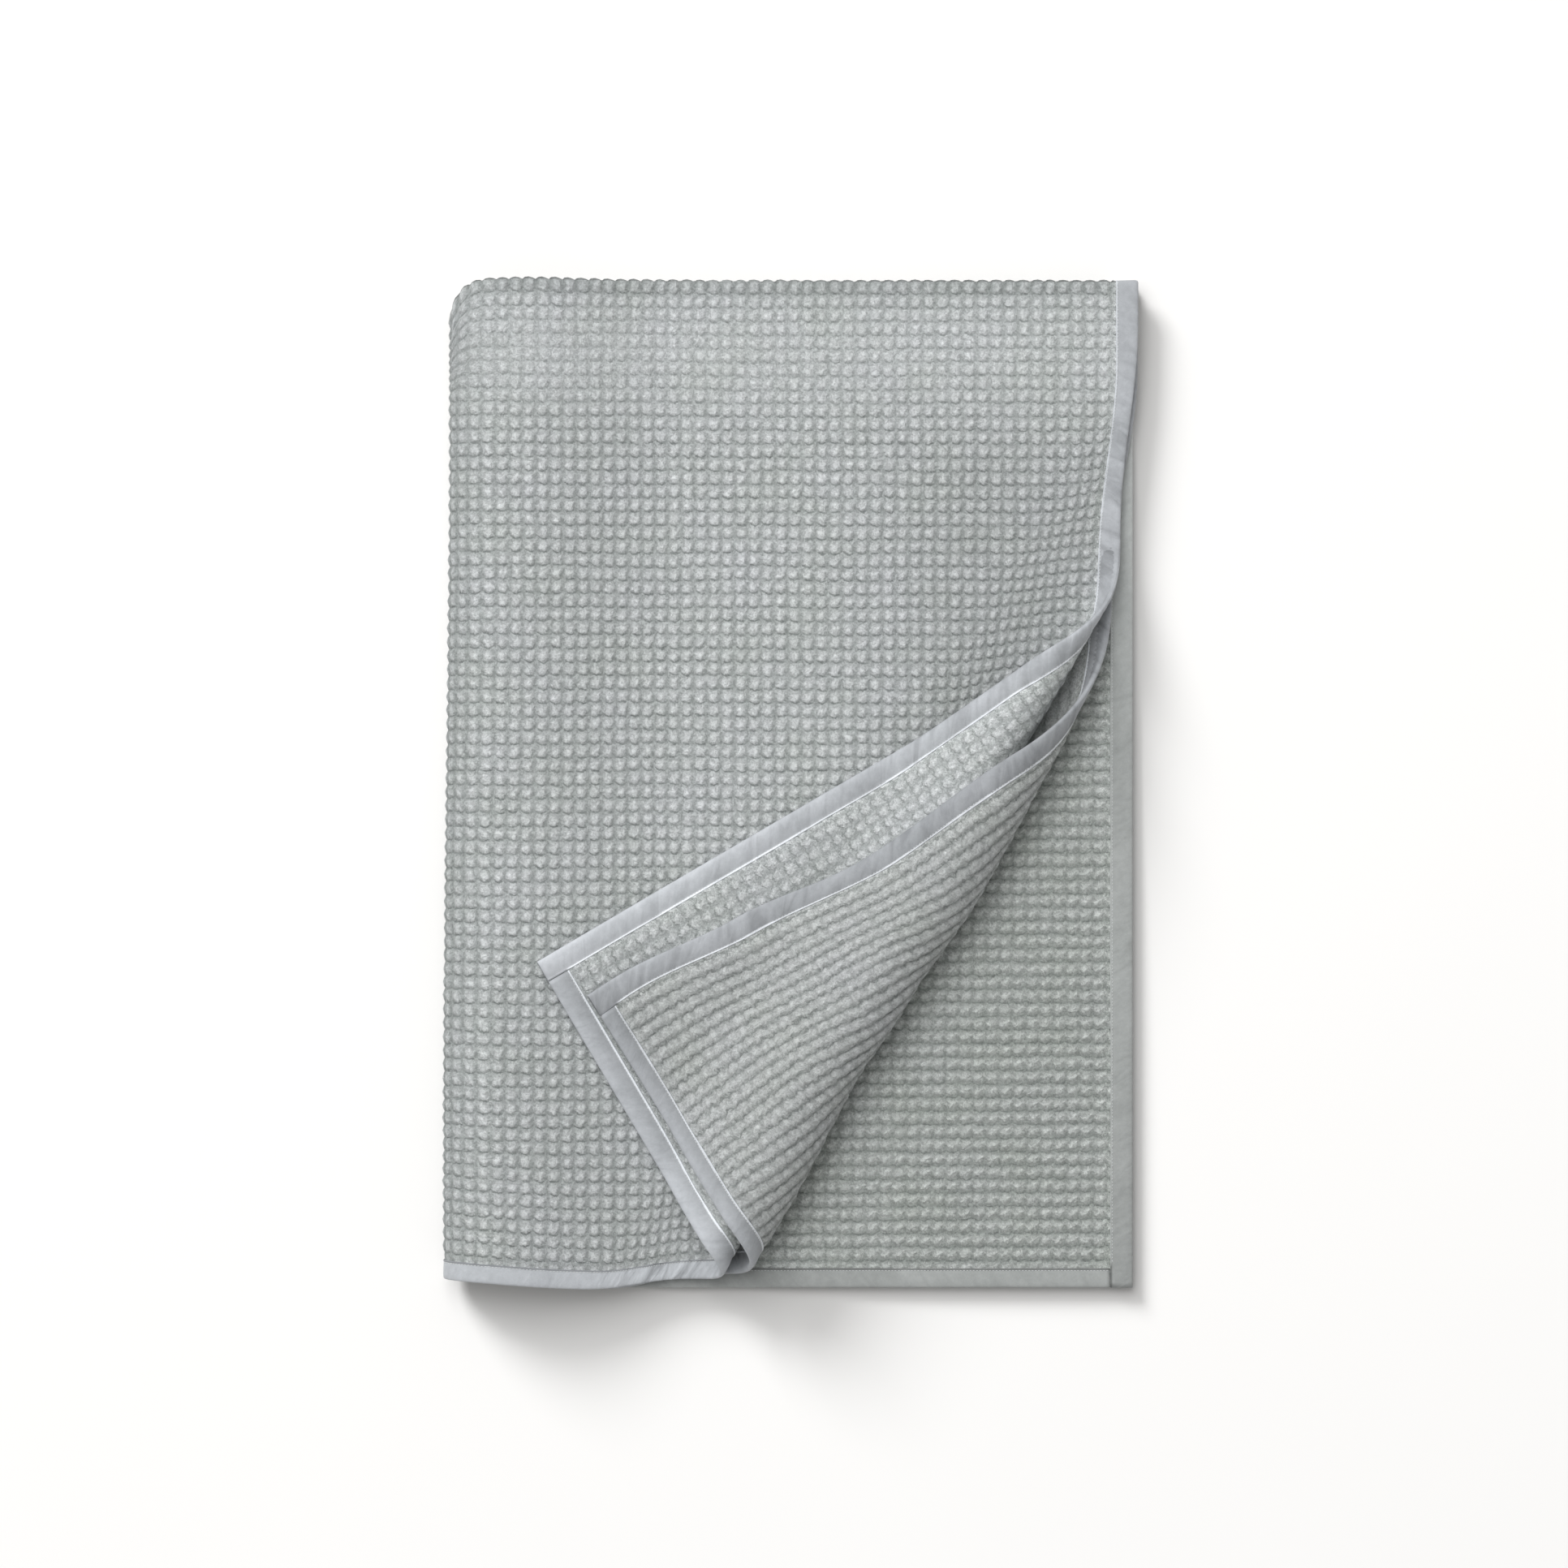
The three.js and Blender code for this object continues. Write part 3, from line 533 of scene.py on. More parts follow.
def build_cloth(material):
    """The folded sheet: two faces at their own fineness, joined along the cut edge."""
    u, v, height, full, cell, band, rope = cloth_lattice()
    outer_fine, inner_fine = fine_cells()
    wall, rolled, turn = bent_cells()
    nets = {1: Net(outer_fine, wall, rolled, turn), -1: Net(inner_fine, wall, rolled, turn)}
    border = np.zeros(nets[1].used.shape, bool)
    border[0] = border[-1] = border[:, 0] = border[:, -1] = True
    both = (nets[1].used | nets[-1].used) & border
    beside_strip = 1 - smooth((HALF_W - np.abs(u) - 23) / 9)
    # The left shoulder and the turn of the far fold, which the material darkens with painted shade
    # where they turn away from the light
    shoulder = smooth((CROWN_U + 10 - u) / 75) * (v < 0) * smooth((u - WALL_U + 20) / 20)
    shoulder = np.maximum(shoulder, np.exp(-(v / 12) ** 2))
    shared = {"band": band, "rope": rope, "shoulder": shoulder, "selvedge": beside_strip,
              "calm": calm_place(u, v), "lofty": full}
    # Painted light and shade over the seen parts of the outer face
    painted_shading = painted_cloth_shading(u, v)
    points, flat, cells, faces, indices = [], [], [], [], {}
    values = {name: [] for name in CLOTH_VALUES}
    total = 0
    for side, net in nets.items():
        net.used |= both
        used, outer = net.used, side == 1
        rise = LOW + DEPTH * (height if outer else REVERSE_LEAST + (1 - REVERSE_LEAST) * height)
        rise = np.where(net.shown, rise, PLAIN)
        if outer:
            underside = (u < WALL_U) & (v < 0)
            rise = np.where(underside, np.minimum(rise, CLOTH_HALF), rise)
        offset = EDGE_HALF + (rise - EDGE_HALF) * full
        index = np.zeros(used.shape, int)
        index[used] = total + np.arange(used.sum())
        points.append(place(u[used], v[used], side * offset[used]))
        flat.append(np.stack([u[used], v[used]], -1))
        cells.append(cell[used])
        own = {"height": np.where(net.shown, height, HIDDEN_HEIGHT),
               "reverse": np.full(used.shape, 0.0 if outer else 1.0),
               "painted_shading": painted_shading if outer else np.ones_like(painted_shading)}
        for name, value in {**own, **shared}.items():
            values[name].append(value[used])
        made = net.faces(index)
        faces += made if outer else [ring[::-1] for ring in made]
        indices[side] = index
        total += int(used.sum())
    ni, nj = border.shape
    ring = [k for k in outline_of(0, 0, ni - 1, nj - 1) if both[k]]
    for a, b in zip(ring, ring[1:] + ring[:1]):
        faces.append([int(k) for k in (indices[1][b], indices[1][a], indices[-1][a], indices[-1][b])])
    obj = mesh_object("waffle_cloth_sheet", np.concatenate(points), faces, material)
    add_map(obj, "Flat", np.concatenate(flat) * MM)
    add_map(obj, "Cells", np.concatenate(cells))
    for name, parts in values.items():
        add_attribute(obj, name, np.concatenate(parts))
    return obj


def strip_stations(low, high, step, turn):
    """Distances along a strip, closer together around the tight turn."""
    count = max(int(round((high - low) / step)), 1)
    stations = np.linspace(low, high, count + 1)
    if turn:
        stations = stations[np.abs(stations) > TURN_ARC + 1]
        close = np.linspace(-TURN_ARC, TURN_ARC, 11)
        stations = np.sort(np.concatenate([stations, close]))
    return stations


def strip_section(top_width, under_width):
    """Outline of the folded strip: inset from its back, offset from the middle."""
    def leg(width, crown, hollow):
        lip = [(width, BINDING_INSIDE), (width + 0.15, 1.75), (width - 0.2, 2.2), (width - 0.9, 2.2)]
        seam = [(width - 1.5, 1.75), (width - 2.3, hollow), (width - 4.5, hollow + 0.12)]
        flat = [(width * 0.5, crown - 0.1), (4.5, crown), (2.0, crown - 0.18)]
        return lip + seam + flat + [(0.8, 1.75), (0.2, 1.2), (0.0, 0.5)]

    top = leg(top_width, 2.35, 1.9)
    under = [(inset, -offset) for inset, offset in leg(under_width, 2.7, 1.72)]
    return np.array(top + under[::-1] + [(0.9, -BINDING_INSIDE), (0.9, BINDING_INSIDE)])


def build_strip(name, along_u, side, material, seed):
    """A binding strip: along_u for a short edge, side for which of its two edges."""
    rng = np.random.default_rng(seed)
    if along_u:
        end = HALF_W - BINDING_WIDTH - BUTT_GAP
        stations = strip_stations(-end, end, 4.0, False)
    else:
        stations = strip_stations(-HALF_L, HALF_L, 4.5, True)
    top_width = TOP_LEG if along_u else BINDING_WIDTH
    outline = strip_section(top_width, BINDING_WIDTH)
    size, count = len(outline), len(stations)
    wander = lattice_noise(rng, (count, 2), 9)[:, :1]
    inset = outline[None, :, 0] + wander * 0.45 * (outline[None, :, 0] > 10)
    crown = lattice_noise(rng, (count, size), 5)
    swell = (outline[:, 0] > 3) & (outline[:, 0] < 16) & (np.abs(outline[:, 1]) > 1.9)
    offset = outline[None, :, 1] + np.sign(outline[None, :, 1]) * 0.16 * crown * swell[None, :]
    along = np.repeat(stations[:, None], size, axis=1)
    u, v = (along, side * (HALF_L - inset)) if along_u else (side * (HALF_W - inset), along)
    forward = (side < 0) == along_u
    points = place(u, v, offset).reshape(-1, 3)
    faces = []
    for k in range(count - 1):
        for i in range(size):
            a, b = k * size + i, k * size + (i + 1) % size
            ring = [a, b, b + size, a + size]
            faces.append(ring if forward else ring[::-1])
    first, last = list(range(size)), [(count - 1) * size + i for i in range(size)]
    faces.append(first[::-1] if forward else first)
    faces.append(last if forward else last[::-1])
    obj = mesh_object(name, points, faces, material)
    add_map(obj, "Flat", np.stack([along.ravel(), (inset * np.sign(offset)).ravel()], -1) * MM)
    for key, value in strip_looks(along_u, u, v, inset, outline, top_width).items():
        add_attribute(obj, key, value.ravel())
    return obj


def strip_looks(along_u, u, v, inset, outline, top_width):
    """What the binding's material reads at each point of a strip."""
    top_face = np.broadcast_to(outline[:, 1] > 0, u.shape)
    width = np.where(top_face, top_width, BINDING_WIDTH)
    on_lip = (inset > width - LIP) & (np.abs(outline[:, 1]) > BINDING_INSIDE)
    lower, bare, flap = u < 0, (u < 0) & (v > 0), (u > 0) & (v > 0)
    distance = np.abs(v)  # from the far fold

    def by_place(values):
        return np.select([bare, flap, top_face], values[:3], values[3])

    # Painted light and shade, and a painted highlight on the lip, chosen by place
    if along_u:
        seam = top_face & ~flap
        painted_shading, pale = by_place(SHORT_PAINTED_SHADING), by_place(SHORT_LIP_HIGHLIGHTS)
    else:
        seam = distance > HALF_L - BINDING_WIDTH
        painted_shading, pale = by_place(LONG_PAINTED_SHADING), by_place(LONG_LIP_HIGHLIGHTS)
        # Painted light and shade along the long strips: lighter towards the ends on the right, and on
        # the left lighter near the far fold and darker towards the ends
        painted_shading = painted_shading * (1 + 0.24 * smooth((distance - 520) / 350) * (u > 0))
        painted_shading = painted_shading * np.where(lower, 1 + 0.34 * (1 - smooth((distance - 200) / 250)), 1)
        painted_shading = painted_shading * np.where(lower, 1 - 0.14 * smooth((distance - 560) / 300), 1)
    rolled_by = np.where(v < 0, into_roll(-1, u, v)[0], into_roll(1, u, v)[0])
    # Slack: the tape crumples where it starts to bend, and on the flap and its underside
    bent = np.exp(-((rolled_by + 15) / 55) ** 2) * (u > CROWN_U)
    bent = bent * np.where((v < 0) & top_face & (not along_u), 0.5, 1.0)
    beneath = 0.45 * (1 - smooth((rolled_by - 120) / 200)) * (u > 0) * ~top_face
    creased = np.where(flap, 0.4, beneath) * (rolled_by > 0) * (not along_u)
    hollow = smooth((inset - 3) / (width - 5)) * ~on_lip
    return {
        # A painted highlight on the lip; painted shade where it lies in a seam's dark line
        "lip": np.where(on_lip, np.where(seam, SEAM_LIP_SHADE, pale), 0),
        # Painted shade across a leg, darker towards its inner edge
        "inward_shade": hollow * np.where(flap & top_face, 1.0, ~top_face),
        # Painted light and shade by place
        "painted_shading": painted_shading,
        "slack": np.maximum(bent, creased),
        # A greenish painted shadow hue on the uncovered layer
        "shadow_hue": bare * 1.0,
    }


def build_stitches(name, runs, material):
    """Short threads along the inner edge of a strip's legs, sunk at both ends."""
    rng = np.random.default_rng(31)
    points, faces = [], []
    total = 0
    rings, sides = len(STITCH_RINGS), 5
    angle = np.arange(sides) * 2 * math.pi / sides
    lift, radius = STITCH_LIFT[None, :, None], STITCH_RADIUS[None, :, None]
    for along_u, side, face, width, reach, sway in runs:
        starts = np.arange(-reach, reach - STITCH_PITCH, STITCH_PITCH)
        count = len(starts)
        jitter = rng.uniform(-0.12, 0.12, (count, 2))
        along = starts[:, None] + STITCH_PITCH * STITCH_COVER * STITCH_RINGS[None, :] + jitter[:, :1]
        zigzag = np.where(np.arange(count) % 2, 1, -1)[:, None] * (STITCH_RINGS[None, :] - 0.5)
        inset = width - STITCH_INSET + sway * zigzag + jitter[:, 1:]
        a = along[..., None] + 0 * angle
        b = inset[..., None] + radius * np.cos(angle)
        c = face * (STITCH_FACE + lift + radius * np.sin(angle)) + 0 * b
        if along_u:
            p = place(a, side * (HALF_L - b), c)
        else:
            p = place(side * (HALF_W - b), a, c)
        points.append(p.reshape(-1, 3))
        handed = (side * face > 0) == along_u
        for base in range(total, total + count * rings * sides, rings * sides):
            for start in range(base, base + (rings - 1) * sides, sides):
                for m in range(sides):
                    x, y = start + m, start + (m + 1) % sides
                    ring = [x, y, y + sides, x + sides]
                    faces.append(ring if handed else ring[::-1])
            first = [base + m for m in range(sides)]
            last = [m + (rings - 1) * sides for m in first]
            faces.append(first[::-1] if handed else first)
            faces.append(last if handed else last[::-1])
        total += count * rings * sides
    return mesh_object(name, np.concatenate(points), faces, material)


# Sockets of a Mix node for its colours
COLOR_A, COLOR_B, COLOR_RESULT = 6, 7, 2
WHITE = (1.0, 1.0, 1.0)


class Shader:
    """A small helper to lay out a material's nodes."""

    def __init__(self, name, roughness, sheen, sheen_roughness):
        self.material = bpy.data.materials.new(name)
        self.material.use_nodes = True
        self.tree = self.material.node_tree
        self.shader = self.tree.nodes["Principled BSDF"]
        self.shader.inputs["Roughness"].default_value = roughness
        self.shader.inputs["Sheen Weight"].default_value = sheen
        self.shader.inputs["Sheen Roughness"].default_value = sheen_roughness
        self.shader.inputs["Specular IOR Level"].default_value = 0.2

    def node(self, kind, inputs=(), **settings):
        made = self.tree.nodes.new(kind)
        for key, value in settings.items():
            setattr(made, key, value)
        for key, value in dict(inputs).items():
            if isinstance(value, bpy.types.NodeSocket):
                self.tree.links.new(value, made.inputs[key])
            else:
                made.inputs[key].default_value = value
        return made

    def scaled(self, source, x, y):
        made = self.node("ShaderNodeMapping", {"Vector": source, "Scale": (x, y, 1)})
        return made.outputs["Vector"]

    def noise(self, vector, scale, detail=2.0, rough=0.5, warp=0.0):
        return self.node("ShaderNodeTexNoise", {
            "Vector": vector, "Scale": scale, "Detail": detail, "Roughness": rough, "Distortion": warp,
        }).outputs["Fac"]

    def math(self, operation, a, b=0.0, clamp=False):
        made = self.node("ShaderNodeMath", {0: a, 1: b}, operation=operation, use_clamp=clamp)
        return made.outputs[0]

    def add(self, a, b, clamp=False):
        return self.math("ADD", a, b, clamp)

    def less(self, a, b):
        return self.math("SUBTRACT", a, b)

    def times(self, a, b):
        return self.math("MULTIPLY", a, b)

    def most(self, a, b):
        return self.math("MAXIMUM", a, b)

    def away_from(self, a, b):
        """Distance of a from b."""
        return self.math("ABSOLUTE", self.less(a, b))

    def attributes(self, *names):
        return [self.node("ShaderNodeAttribute", attribute_name=name).outputs["Fac"]
                for name in names]

    def fade(self, value, nothing, everything):
        """0 where value is at nothing, 1 where it is at everything, smooth between."""
        made = self.node("ShaderNodeMapRange", {
            "Value": value, "From Min": nothing, "From Max": everything, "To Min": 0.0, "To Max": 1.0,
        }, interpolation_type="SMOOTHSTEP")
        return made.outputs["Result"]

    def ramp(self, factor, stops):
        made = self.node("ShaderNodeValToRGB", {"Fac": factor})
        elements = made.color_ramp.elements
        while len(elements) < len(stops):
            elements.new(0.5)
        for element, (position, color) in zip(elements, stops):
            element.position = position
            element.color = (*color, 1)
        return made.outputs["Color"]

    def mix(self, factor, a, b):
        """The value a where factor is 0 and b where it is 1."""
        return self.node("ShaderNodeMix", {"Factor": factor, "A": a, "B": b}).outputs["Result"]

    def mix_color(self, factor, a, b, **settings):
        """The same for colours, each a constant or a socket."""
        made = self.node("ShaderNodeMix", data_type="RGBA", **settings)
        for socket, value in (("Factor", factor), (COLOR_A, a), (COLOR_B, b)):
            if isinstance(value, bpy.types.NodeSocket):
                self.tree.links.new(value, made.inputs[socket])
            else:
                made.inputs[socket].default_value = value if socket == "Factor" else (*value, 1)
        return made.outputs[COLOR_RESULT]

    def product(self, first, *others):
        for other in others:
            first = self.mix_color(1.0, first, other, blend_type="MULTIPLY")
        return first

    def bump(self, height, strength, distance):
        made = self.node("ShaderNodeBump", {
            "Height": height, "Strength": strength, "Distance": distance})
        self.tree.links.new(made.outputs["Normal"], self.shader.inputs["Normal"])

    def color(self, socket):
        self.tree.links.new(socket, self.shader.inputs["Base Color"])


def grey(value):
    return (value, value, value)


def cloth_material():
    """The waffle weave: rounded scales, creases between them and a crinkled, fuzzy yarn."""
    s = Shader("waffle_weave", 0.94, 0.15, 0.55)
    flat = s.node("ShaderNodeUVMap", uv_map="Flat").outputs["UV"]
    cells = s.node("ShaderNodeUVMap", uv_map="Cells").outputs["UV"]
    height, band, rope, shoulder, reverse, selvedge, painted_shading, calm, lofty = s.attributes(*CLOTH_VALUES)

    # Place inside a cell, with a ragged outline: t up from the crease, across from its
    # middle, x the same without its sign
    apart = s.node("ShaderNodeSeparateXYZ", {"Vector": cells})
    ragged = s.node("ShaderNodeTexNoise", {
        "Vector": cells, "Scale": 2.8, "Detail": 4.0, "Roughness": 0.6})
    shift = s.node("ShaderNodeSeparateColor", {"Color": ragged.outputs["Color"]})

    def within(axis, channel, amount):
        drift = s.times(s.less(shift.outputs[channel], 0.5), amount)
        return s.math("FRACT", s.add(apart.outputs[axis], drift))

    t = within("Y", "Green", s.add(0.42, s.times(s.most(rope, reverse), 0.5)))
    across = s.less(within("X", "Red", s.add(0.6, s.times(reverse, 0.5))), 0.5)
    x = s.math("ABSOLUTE", s.add(across, 0.035))

    def kinds(plain, banded, roped):
        """One value for each of the three looks of the weave, mixed by the attributes."""
        return s.mix(rope, s.mix(band, plain, banded), roped)

    def falling(start, end, amount):
        """From 1 down by amount, as t goes from start to end."""
        return s.less(1.0, s.times(s.fade(t, start, end), amount))

    # Pillows: bright above the crease, falling off upwards and towards the sides
    plain = s.times(s.fade(t, 0.0, 0.28), falling(0.45, 0.88, 0.72))
    banded = s.times(s.fade(t, 0.1, 0.42), s.fade(t, 0.98, 0.6))
    roped = s.times(s.fade(t, 0.0, 0.34), falling(0.5, 1.0, 0.5))
    dip = s.times(s.fade(x, 0.1, 0.42), kinds(0.85, 0.75, 0.3))
    pillow = s.times(kinds(plain, banded, roped), s.less(1.0, dip))

    # Dark lines: the crease below a cell, slits beside it and a hook at its right. They sink the bump,
    # and in the colour they are painted shade; the hook is painted shade on the side away from the
    # light.
    crease = s.times(s.most(s.fade(t, 0.12, 0.02), s.fade(t, 0.92, 0.98)), kinds(1.0, 0.8, 0.65))
    crease = s.times(crease, s.add(s.fade(x, 0.42, 0.26), kinds(0.22, 0.75, 0.7), clamp=True))
    thin_slit = s.times(s.times(s.fade(x, 0.33, 0.37), s.fade(x, 0.42, 0.38)), 0.6)
    beside = s.most(s.fade(x, 0.44, 0.485), thin_slit)
    broken = s.most(s.fade(s.noise(cells, 1.9, 2, 0.6), 0.36, 0.56), shoulder)
    slit = s.times(s.times(beside, broken), kinds(0.6, 0.45, 0.2))
    hook = s.times(s.times(s.fade(across, 0.2, 0.4), s.fade(t, 0.62, 0.2)), kinds(0.55, 0.3, 0.0))
    lines = s.most(crease, s.most(slit, hook))
    lively = s.fade(s.noise(cells, 0.7, 1, 0.5), 0.25, 0.6)
    lines = s.times(lines, s.add(0.45, s.times(lively, 0.55)))
    lines = s.times(lines, s.less(1.0, s.most(s.times(reverse, 0.3), s.times(calm, 0.5))))

    # Crinkled yarn: curly threads, knots and fuzz
    def threads(vector, scale, width):
        return s.fade(s.away_from(s.noise(vector, scale, 2, 0.6, 2.6), 0.5), width, 0.0)

    curls = s.most(threads(flat, 230, 0.06), threads(s.scaled(flat, 430, 300), 1.0, 0.065))
    knots = s.fade(s.noise(flat, 330, 4, 0.7, 0.8), 0.36, 0.64)
    fuzz = s.fade(s.noise(flat, 900, 3, 0.7, 0.8), 0.3, 0.7)
    fibre = s.add(s.times(curls, 0.28), s.add(s.times(knots, 0.5), s.times(fuzz, 0.22)))

    # Bright zigzag strokes over the banded rows
    wave = s.math("PINGPONG", s.add(apart.outputs["X"], s.times(shift.outputs["Blue"], 0.7)), 0.5)
    level = s.add(0.34, s.times(wave, 0.66))
    stroke = s.times(s.fade(s.away_from(t, level), 0.17, 0.03), band)

    relief = s.add(s.times(pillow, 0.6), s.times(stroke, 0.4))
    relief = s.times(s.less(relief, s.times(lines, 0.35)), lofty)
    s.bump(s.add(relief, s.times(fibre, 0.5)), 0.85, 0.0018)

    # Colour: the yarn's own tint, painted shade on the lower layer, the flap and the shoulder, the
    # painted light and shade of each place, painted shade in the cells' valleys and creases with a
    # painted highlight on their tops, and the yarn's streaks
    tint = s.ramp(s.noise(flat, 14, 3, 0.6), [
        (0.3, (0.635, 0.66, 0.65)), (0.5, (0.66, 0.68, 0.683)), (0.72, (0.672, 0.688, 0.703))])
    # Painted shade: the lower layer darker and greener, the flap and the shoulder darker, the inner
    # face a touch darker
    painted_part_shade = s.product(s.mix_color(band, WHITE, (0.785, 0.795, 0.765)),
                      s.mix_color(rope, WHITE, (0.79, 0.79, 0.78)),
                      s.mix_color(shoulder, WHITE, (0.68, 0.69, 0.685)),
                      s.mix_color(reverse, WHITE, grey(0.99)))
    cell_tint = s.ramp(s.noise(flat, 75, 2, 0.5), [(0.3, (0.95, 0.96, 0.955)), (0.7, WHITE)])
    # Painted shade in the valleys and a painted highlight on the pillow tops
    shade = s.add(s.times(pillow, 0.75), s.add(s.times(height, 0.25), s.times(stroke, 0.35)))
    shade = s.mix(s.most(s.times(reverse, 0.2), s.times(calm, 0.55)), shade, 0.58)
    shades = s.ramp(shade, [(0.05, (0.76, 0.775, 0.765)), (0.35, (0.86, 0.87, 0.865)),
                            (0.65, grey(0.99)), (1.0, grey(1.17))])
    # Painted shade in the creases, slits and hooks
    painted_crease_shade = s.ramp(lines, [(0.0, WHITE), (1.0, (0.6, 0.62, 0.61))])
    streak = s.ramp(fibre, [(0.1, grey(0.66)), (0.45, grey(0.985)), (0.9, grey(1.33))])
    frayed = s.mix_color(s.times(selvedge, curls), WHITE, (1.28, 1.28, 1.27))
    s.color(s.product(tint, painted_part_shade, painted_shading, cell_tint, shades, painted_crease_shade, streak, frayed))
    return s.material


def binding_material():
    """Plain tape with a soft gleam: fine weave, slanted puckers with painted light and shade, a
    painted highlight on the lip along its edges, and painted shade across its legs and by place.
    """
    s = Shader("binding_weave", 0.62, 0.12, 0.4)
    flat = s.node("ShaderNodeUVMap", uv_map="Flat").outputs["UV"]
    lip, inward_shade, painted_shading, slack, shadow_hue = s.attributes("lip", "inward_shade", "painted_shading", "slack", "shadow_hue")
    slanted = s.node("ShaderNodeMapping", {"Vector": flat, "Rotation": (0, 0, math.radians(32))})
    pucker = s.noise(s.scaled(slanted.outputs["Vector"], 95, 22), 1.0, 3, 0.5, 0.6)
    tug = s.noise(s.scaled(flat, 260, 60), 1.0, 2, 0.5)
    warp = s.noise(s.scaled(flat, 2400, 420), 1.0, 2, 0.5)
    weft = s.noise(s.scaled(flat, 420, 2400), 1.0, 2, 0.5)
    weave = s.add(s.times(warp, 0.5), s.times(weft, 0.5))

    tint = s.ramp(s.noise(flat, 11, 3, 0.6), [
        (0.3, (0.40, 0.418, 0.437)), (0.7, (0.465, 0.481, 0.506))])
    fine = s.ramp(weave, [(0.35, grey(0.93)), (0.65, grey(1.03))])
    mottle = s.ramp(s.noise(flat, 160, 4, 0.65), [(0.3, grey(0.92)), (0.7, grey(1.05))])
    taut = s.ramp(pucker, [(0.3, grey(0.93)), (0.5, WHITE), (0.7, grey(1.04))])
    # Painted light and shade of the puckers, strongest where the tape is slack
    crumpled = s.ramp(pucker, [(0.34, grey(0.64)), (0.48, grey(0.92)), (0.62, grey(1.12))])
    shaded = s.mix_color(slack, taut, crumpled)
    # A painted highlight along the lip, painted shade where it lies in a seam
    edge = s.add(1.0, s.times(lip, 0.55))
    # Painted shade across a leg: a little lighter at its back, darker towards its inner edge
    across = s.mix_color(inward_shade, grey(1.06), (0.84, 0.84, 0.835))
    # A greenish painted shadow hue on the uncovered layer
    greenish = s.mix_color(shadow_hue, WHITE, (1.0, 1.0, 0.935))
    s.color(s.product(tint, fine, mottle, shaded, edge, across, painted_shading, greenish))
    folds = s.times(pucker, s.add(0.8, s.times(slack, 1.4)))
    s.bump(s.add(s.times(weave, 0.1), s.add(folds, s.times(tug, 0.25))), 0.5, 0.0026)
    return s.material


def thread_material():
    """Pale twisted thread."""
    s = Shader("stitch_thread", 0.6, 0.2, 0.4)
    where = s.node("ShaderNodeTexCoord").outputs["Object"]
    twist = s.noise(s.scaled(where, 1800, 1800), 1.0, 2, 0.5)
    s.color(s.ramp(twist, [(0.3, (0.60, 0.62, 0.62)), (0.7, (0.72, 0.74, 0.74))]))
    s.bump(twist, 0.3, 0.0003)
    return s.material


def floor_material():
    """Plain pale paper."""
    s = Shader("floor_paper", 0.9, 0.0, 0.5)
    where = s.node("ShaderNodeTexCoord").outputs["Object"]
    cloudy = s.noise(where, 3, 2, 0.5)
    s.color(s.ramp(cloudy, [(0.0, (0.645, 0.638, 0.628)), (1.0, (0.655, 0.648, 0.638))]))
    return s.material


# Camera, straight above as in the photo
CENTRE_X = (PHOTO_SIZE / 2 - ORIGIN_PX[0]) * PIXEL * MM
CENTRE_Y = (ORIGIN_PX[1] - PHOTO_SIZE / 2) * PIXEL * MM
VIEW_WIDTH = PHOTO_SIZE * PIXEL * MM
CAMERA_HEIGHT, SCALE_HEIGHT = 5.0, 0.022  # the scale holds at the height of the top layer
SENSOR = 36
camera = bpy.data.objects.new("camera", bpy.data.cameras.new("camera"))
bpy.context.scene.collection.objects.link(camera)
camera.location = (CENTRE_X, CENTRE_Y, CAMERA_HEIGHT)
camera.data.sensor_width = SENSOR
camera.data.lens = SENSOR * (CAMERA_HEIGHT - SCALE_HEIGHT) / VIEW_WIDTH
bpy.context.scene.camera = camera

# The blanket
cloth_look, binding_look, thread_look = cloth_material(), binding_material(), thread_material()
cloth = build_cloth(cloth_look)
strips = {
    "binding_right": build_strip("binding_right_strip", False, 1, binding_look, 11),
    "binding_left": build_strip("binding_left_strip", False, -1, binding_look, 12),
    "binding_foot": build_strip("binding_foot_strip", True, -1, binding_look, 13),
    "binding_head": build_strip("binding_head_strip", True, 1, binding_look, 14),
}
for node, strip in strips.items():
    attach(strip, "root")
    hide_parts(node)

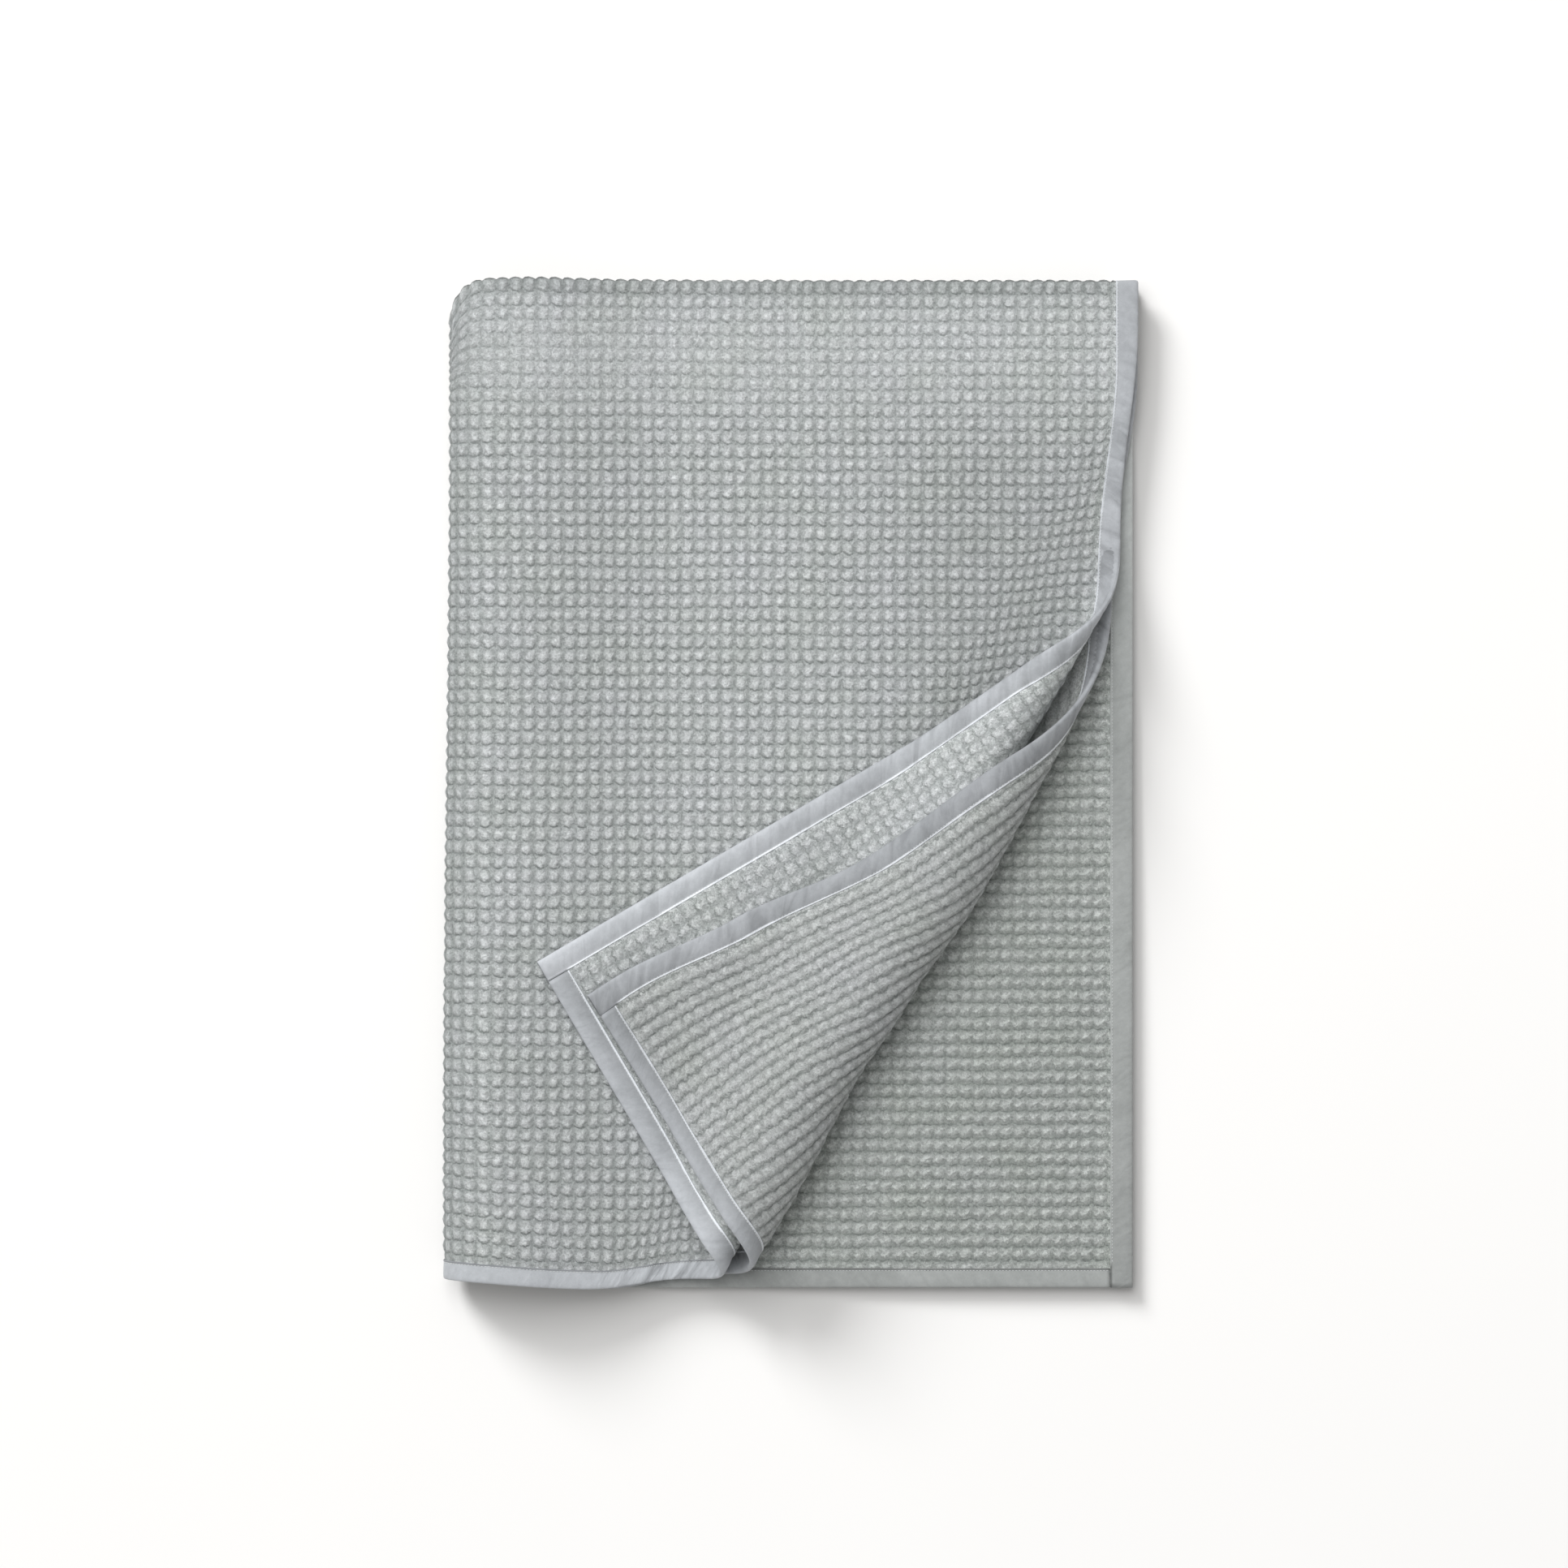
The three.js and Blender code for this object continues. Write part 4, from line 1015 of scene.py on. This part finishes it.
END_U = HALF_W - BINDING_WIDTH - BUTT_GAP - 1
END_V = HALF_L - BINDING_WIDTH - 1
stitches = build_stitches("binding_stitches", [
    # along a short edge, which edge, which face, leg width, reach, zigzag
    (False, 1, 1, BINDING_WIDTH, END_V, 0.9),
    (False, 1, -1, BINDING_WIDTH, END_V, 0.0),
    (False, -1, 1, BINDING_WIDTH, END_V, 0.9),
    (False, -1, -1, BINDING_WIDTH, END_V, 0.9),
    (True, -1, 1, TOP_LEG, END_U, 0.0),
    (True, -1, -1, BINDING_WIDTH, END_U, 0.6),
    (True, 1, 1, TOP_LEG, END_U, 0.0),
    (True, 1, -1, BINDING_WIDTH, END_U, 0.6),
], thread_look)
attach(stitches, "root")

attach(cloth, "root")
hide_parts("waffle_cloth")

# Floor and light
FLOOR_HALF, FLOOR_DROP = 8.0, 0.0004
corners = [(x * FLOOR_HALF, y * FLOOR_HALF, 0) for x, y in ((-1, -1), (1, -1), (1, 1), (-1, 1))]
floor = mesh_object("floor", corners, [(0, 1, 2, 3)], floor_material())
floor.location.z = -FLOOR_DROP


LIGHT_COLOR = (0.99, 0.993, 1.0)
KEY_AWAY = 5.0
WORLD_COLOR, WORLD_STRENGTH = (1.0, 1.0, 0.99, 1), 0.45


def add_light(name, kind, azimuth, elevation, power, **settings):
    """A light aimed at the middle of the blanket; it comes from azimuth, clockwise from +Y."""
    lamp = bpy.data.lights.new(name, kind)
    lamp.energy, lamp.color = power, LIGHT_COLOR
    for key, value in settings.items():
        setattr(lamp, key, value)
    obj = bpy.data.objects.new(name, lamp)
    bpy.context.scene.collection.objects.link(obj)
    a, e = math.radians(azimuth), math.radians(elevation)
    away = KEY_AWAY if kind == "AREA" else 0.0
    level = away * math.cos(e)
    obj.location = (level * math.sin(a), level * math.cos(a), away * math.sin(e))
    obj.rotation_euler = (math.radians(90 - elevation), 0, math.radians(180 - azimuth))
    return obj


add_light("key", "AREA", -32, 64, 158, size=3.6)
add_light("side", "SUN", -42, 31, 0.95, angle=math.radians(22))
floor_light = add_light("floor_light", "SUN", -36, 26, 3.55, angle=math.radians(21))
# The last one falls on the floor alone, for the depth of the cast shadow
lit = bpy.data.collections.new("lit_by_floor_light")
lit.objects.link(floor)
floor_light.light_linking.receiver_collection = lit
world = bpy.data.worlds.new("studio")
world.use_nodes = True
background = world.node_tree.nodes["Background"].inputs
background["Color"].default_value = WORLD_COLOR
background["Strength"].default_value = WORLD_STRENGTH
bpy.context.scene.world = world
bpy.context.scene.view_settings.view_transform = "Standard"

bpy.context.view_layer.update()
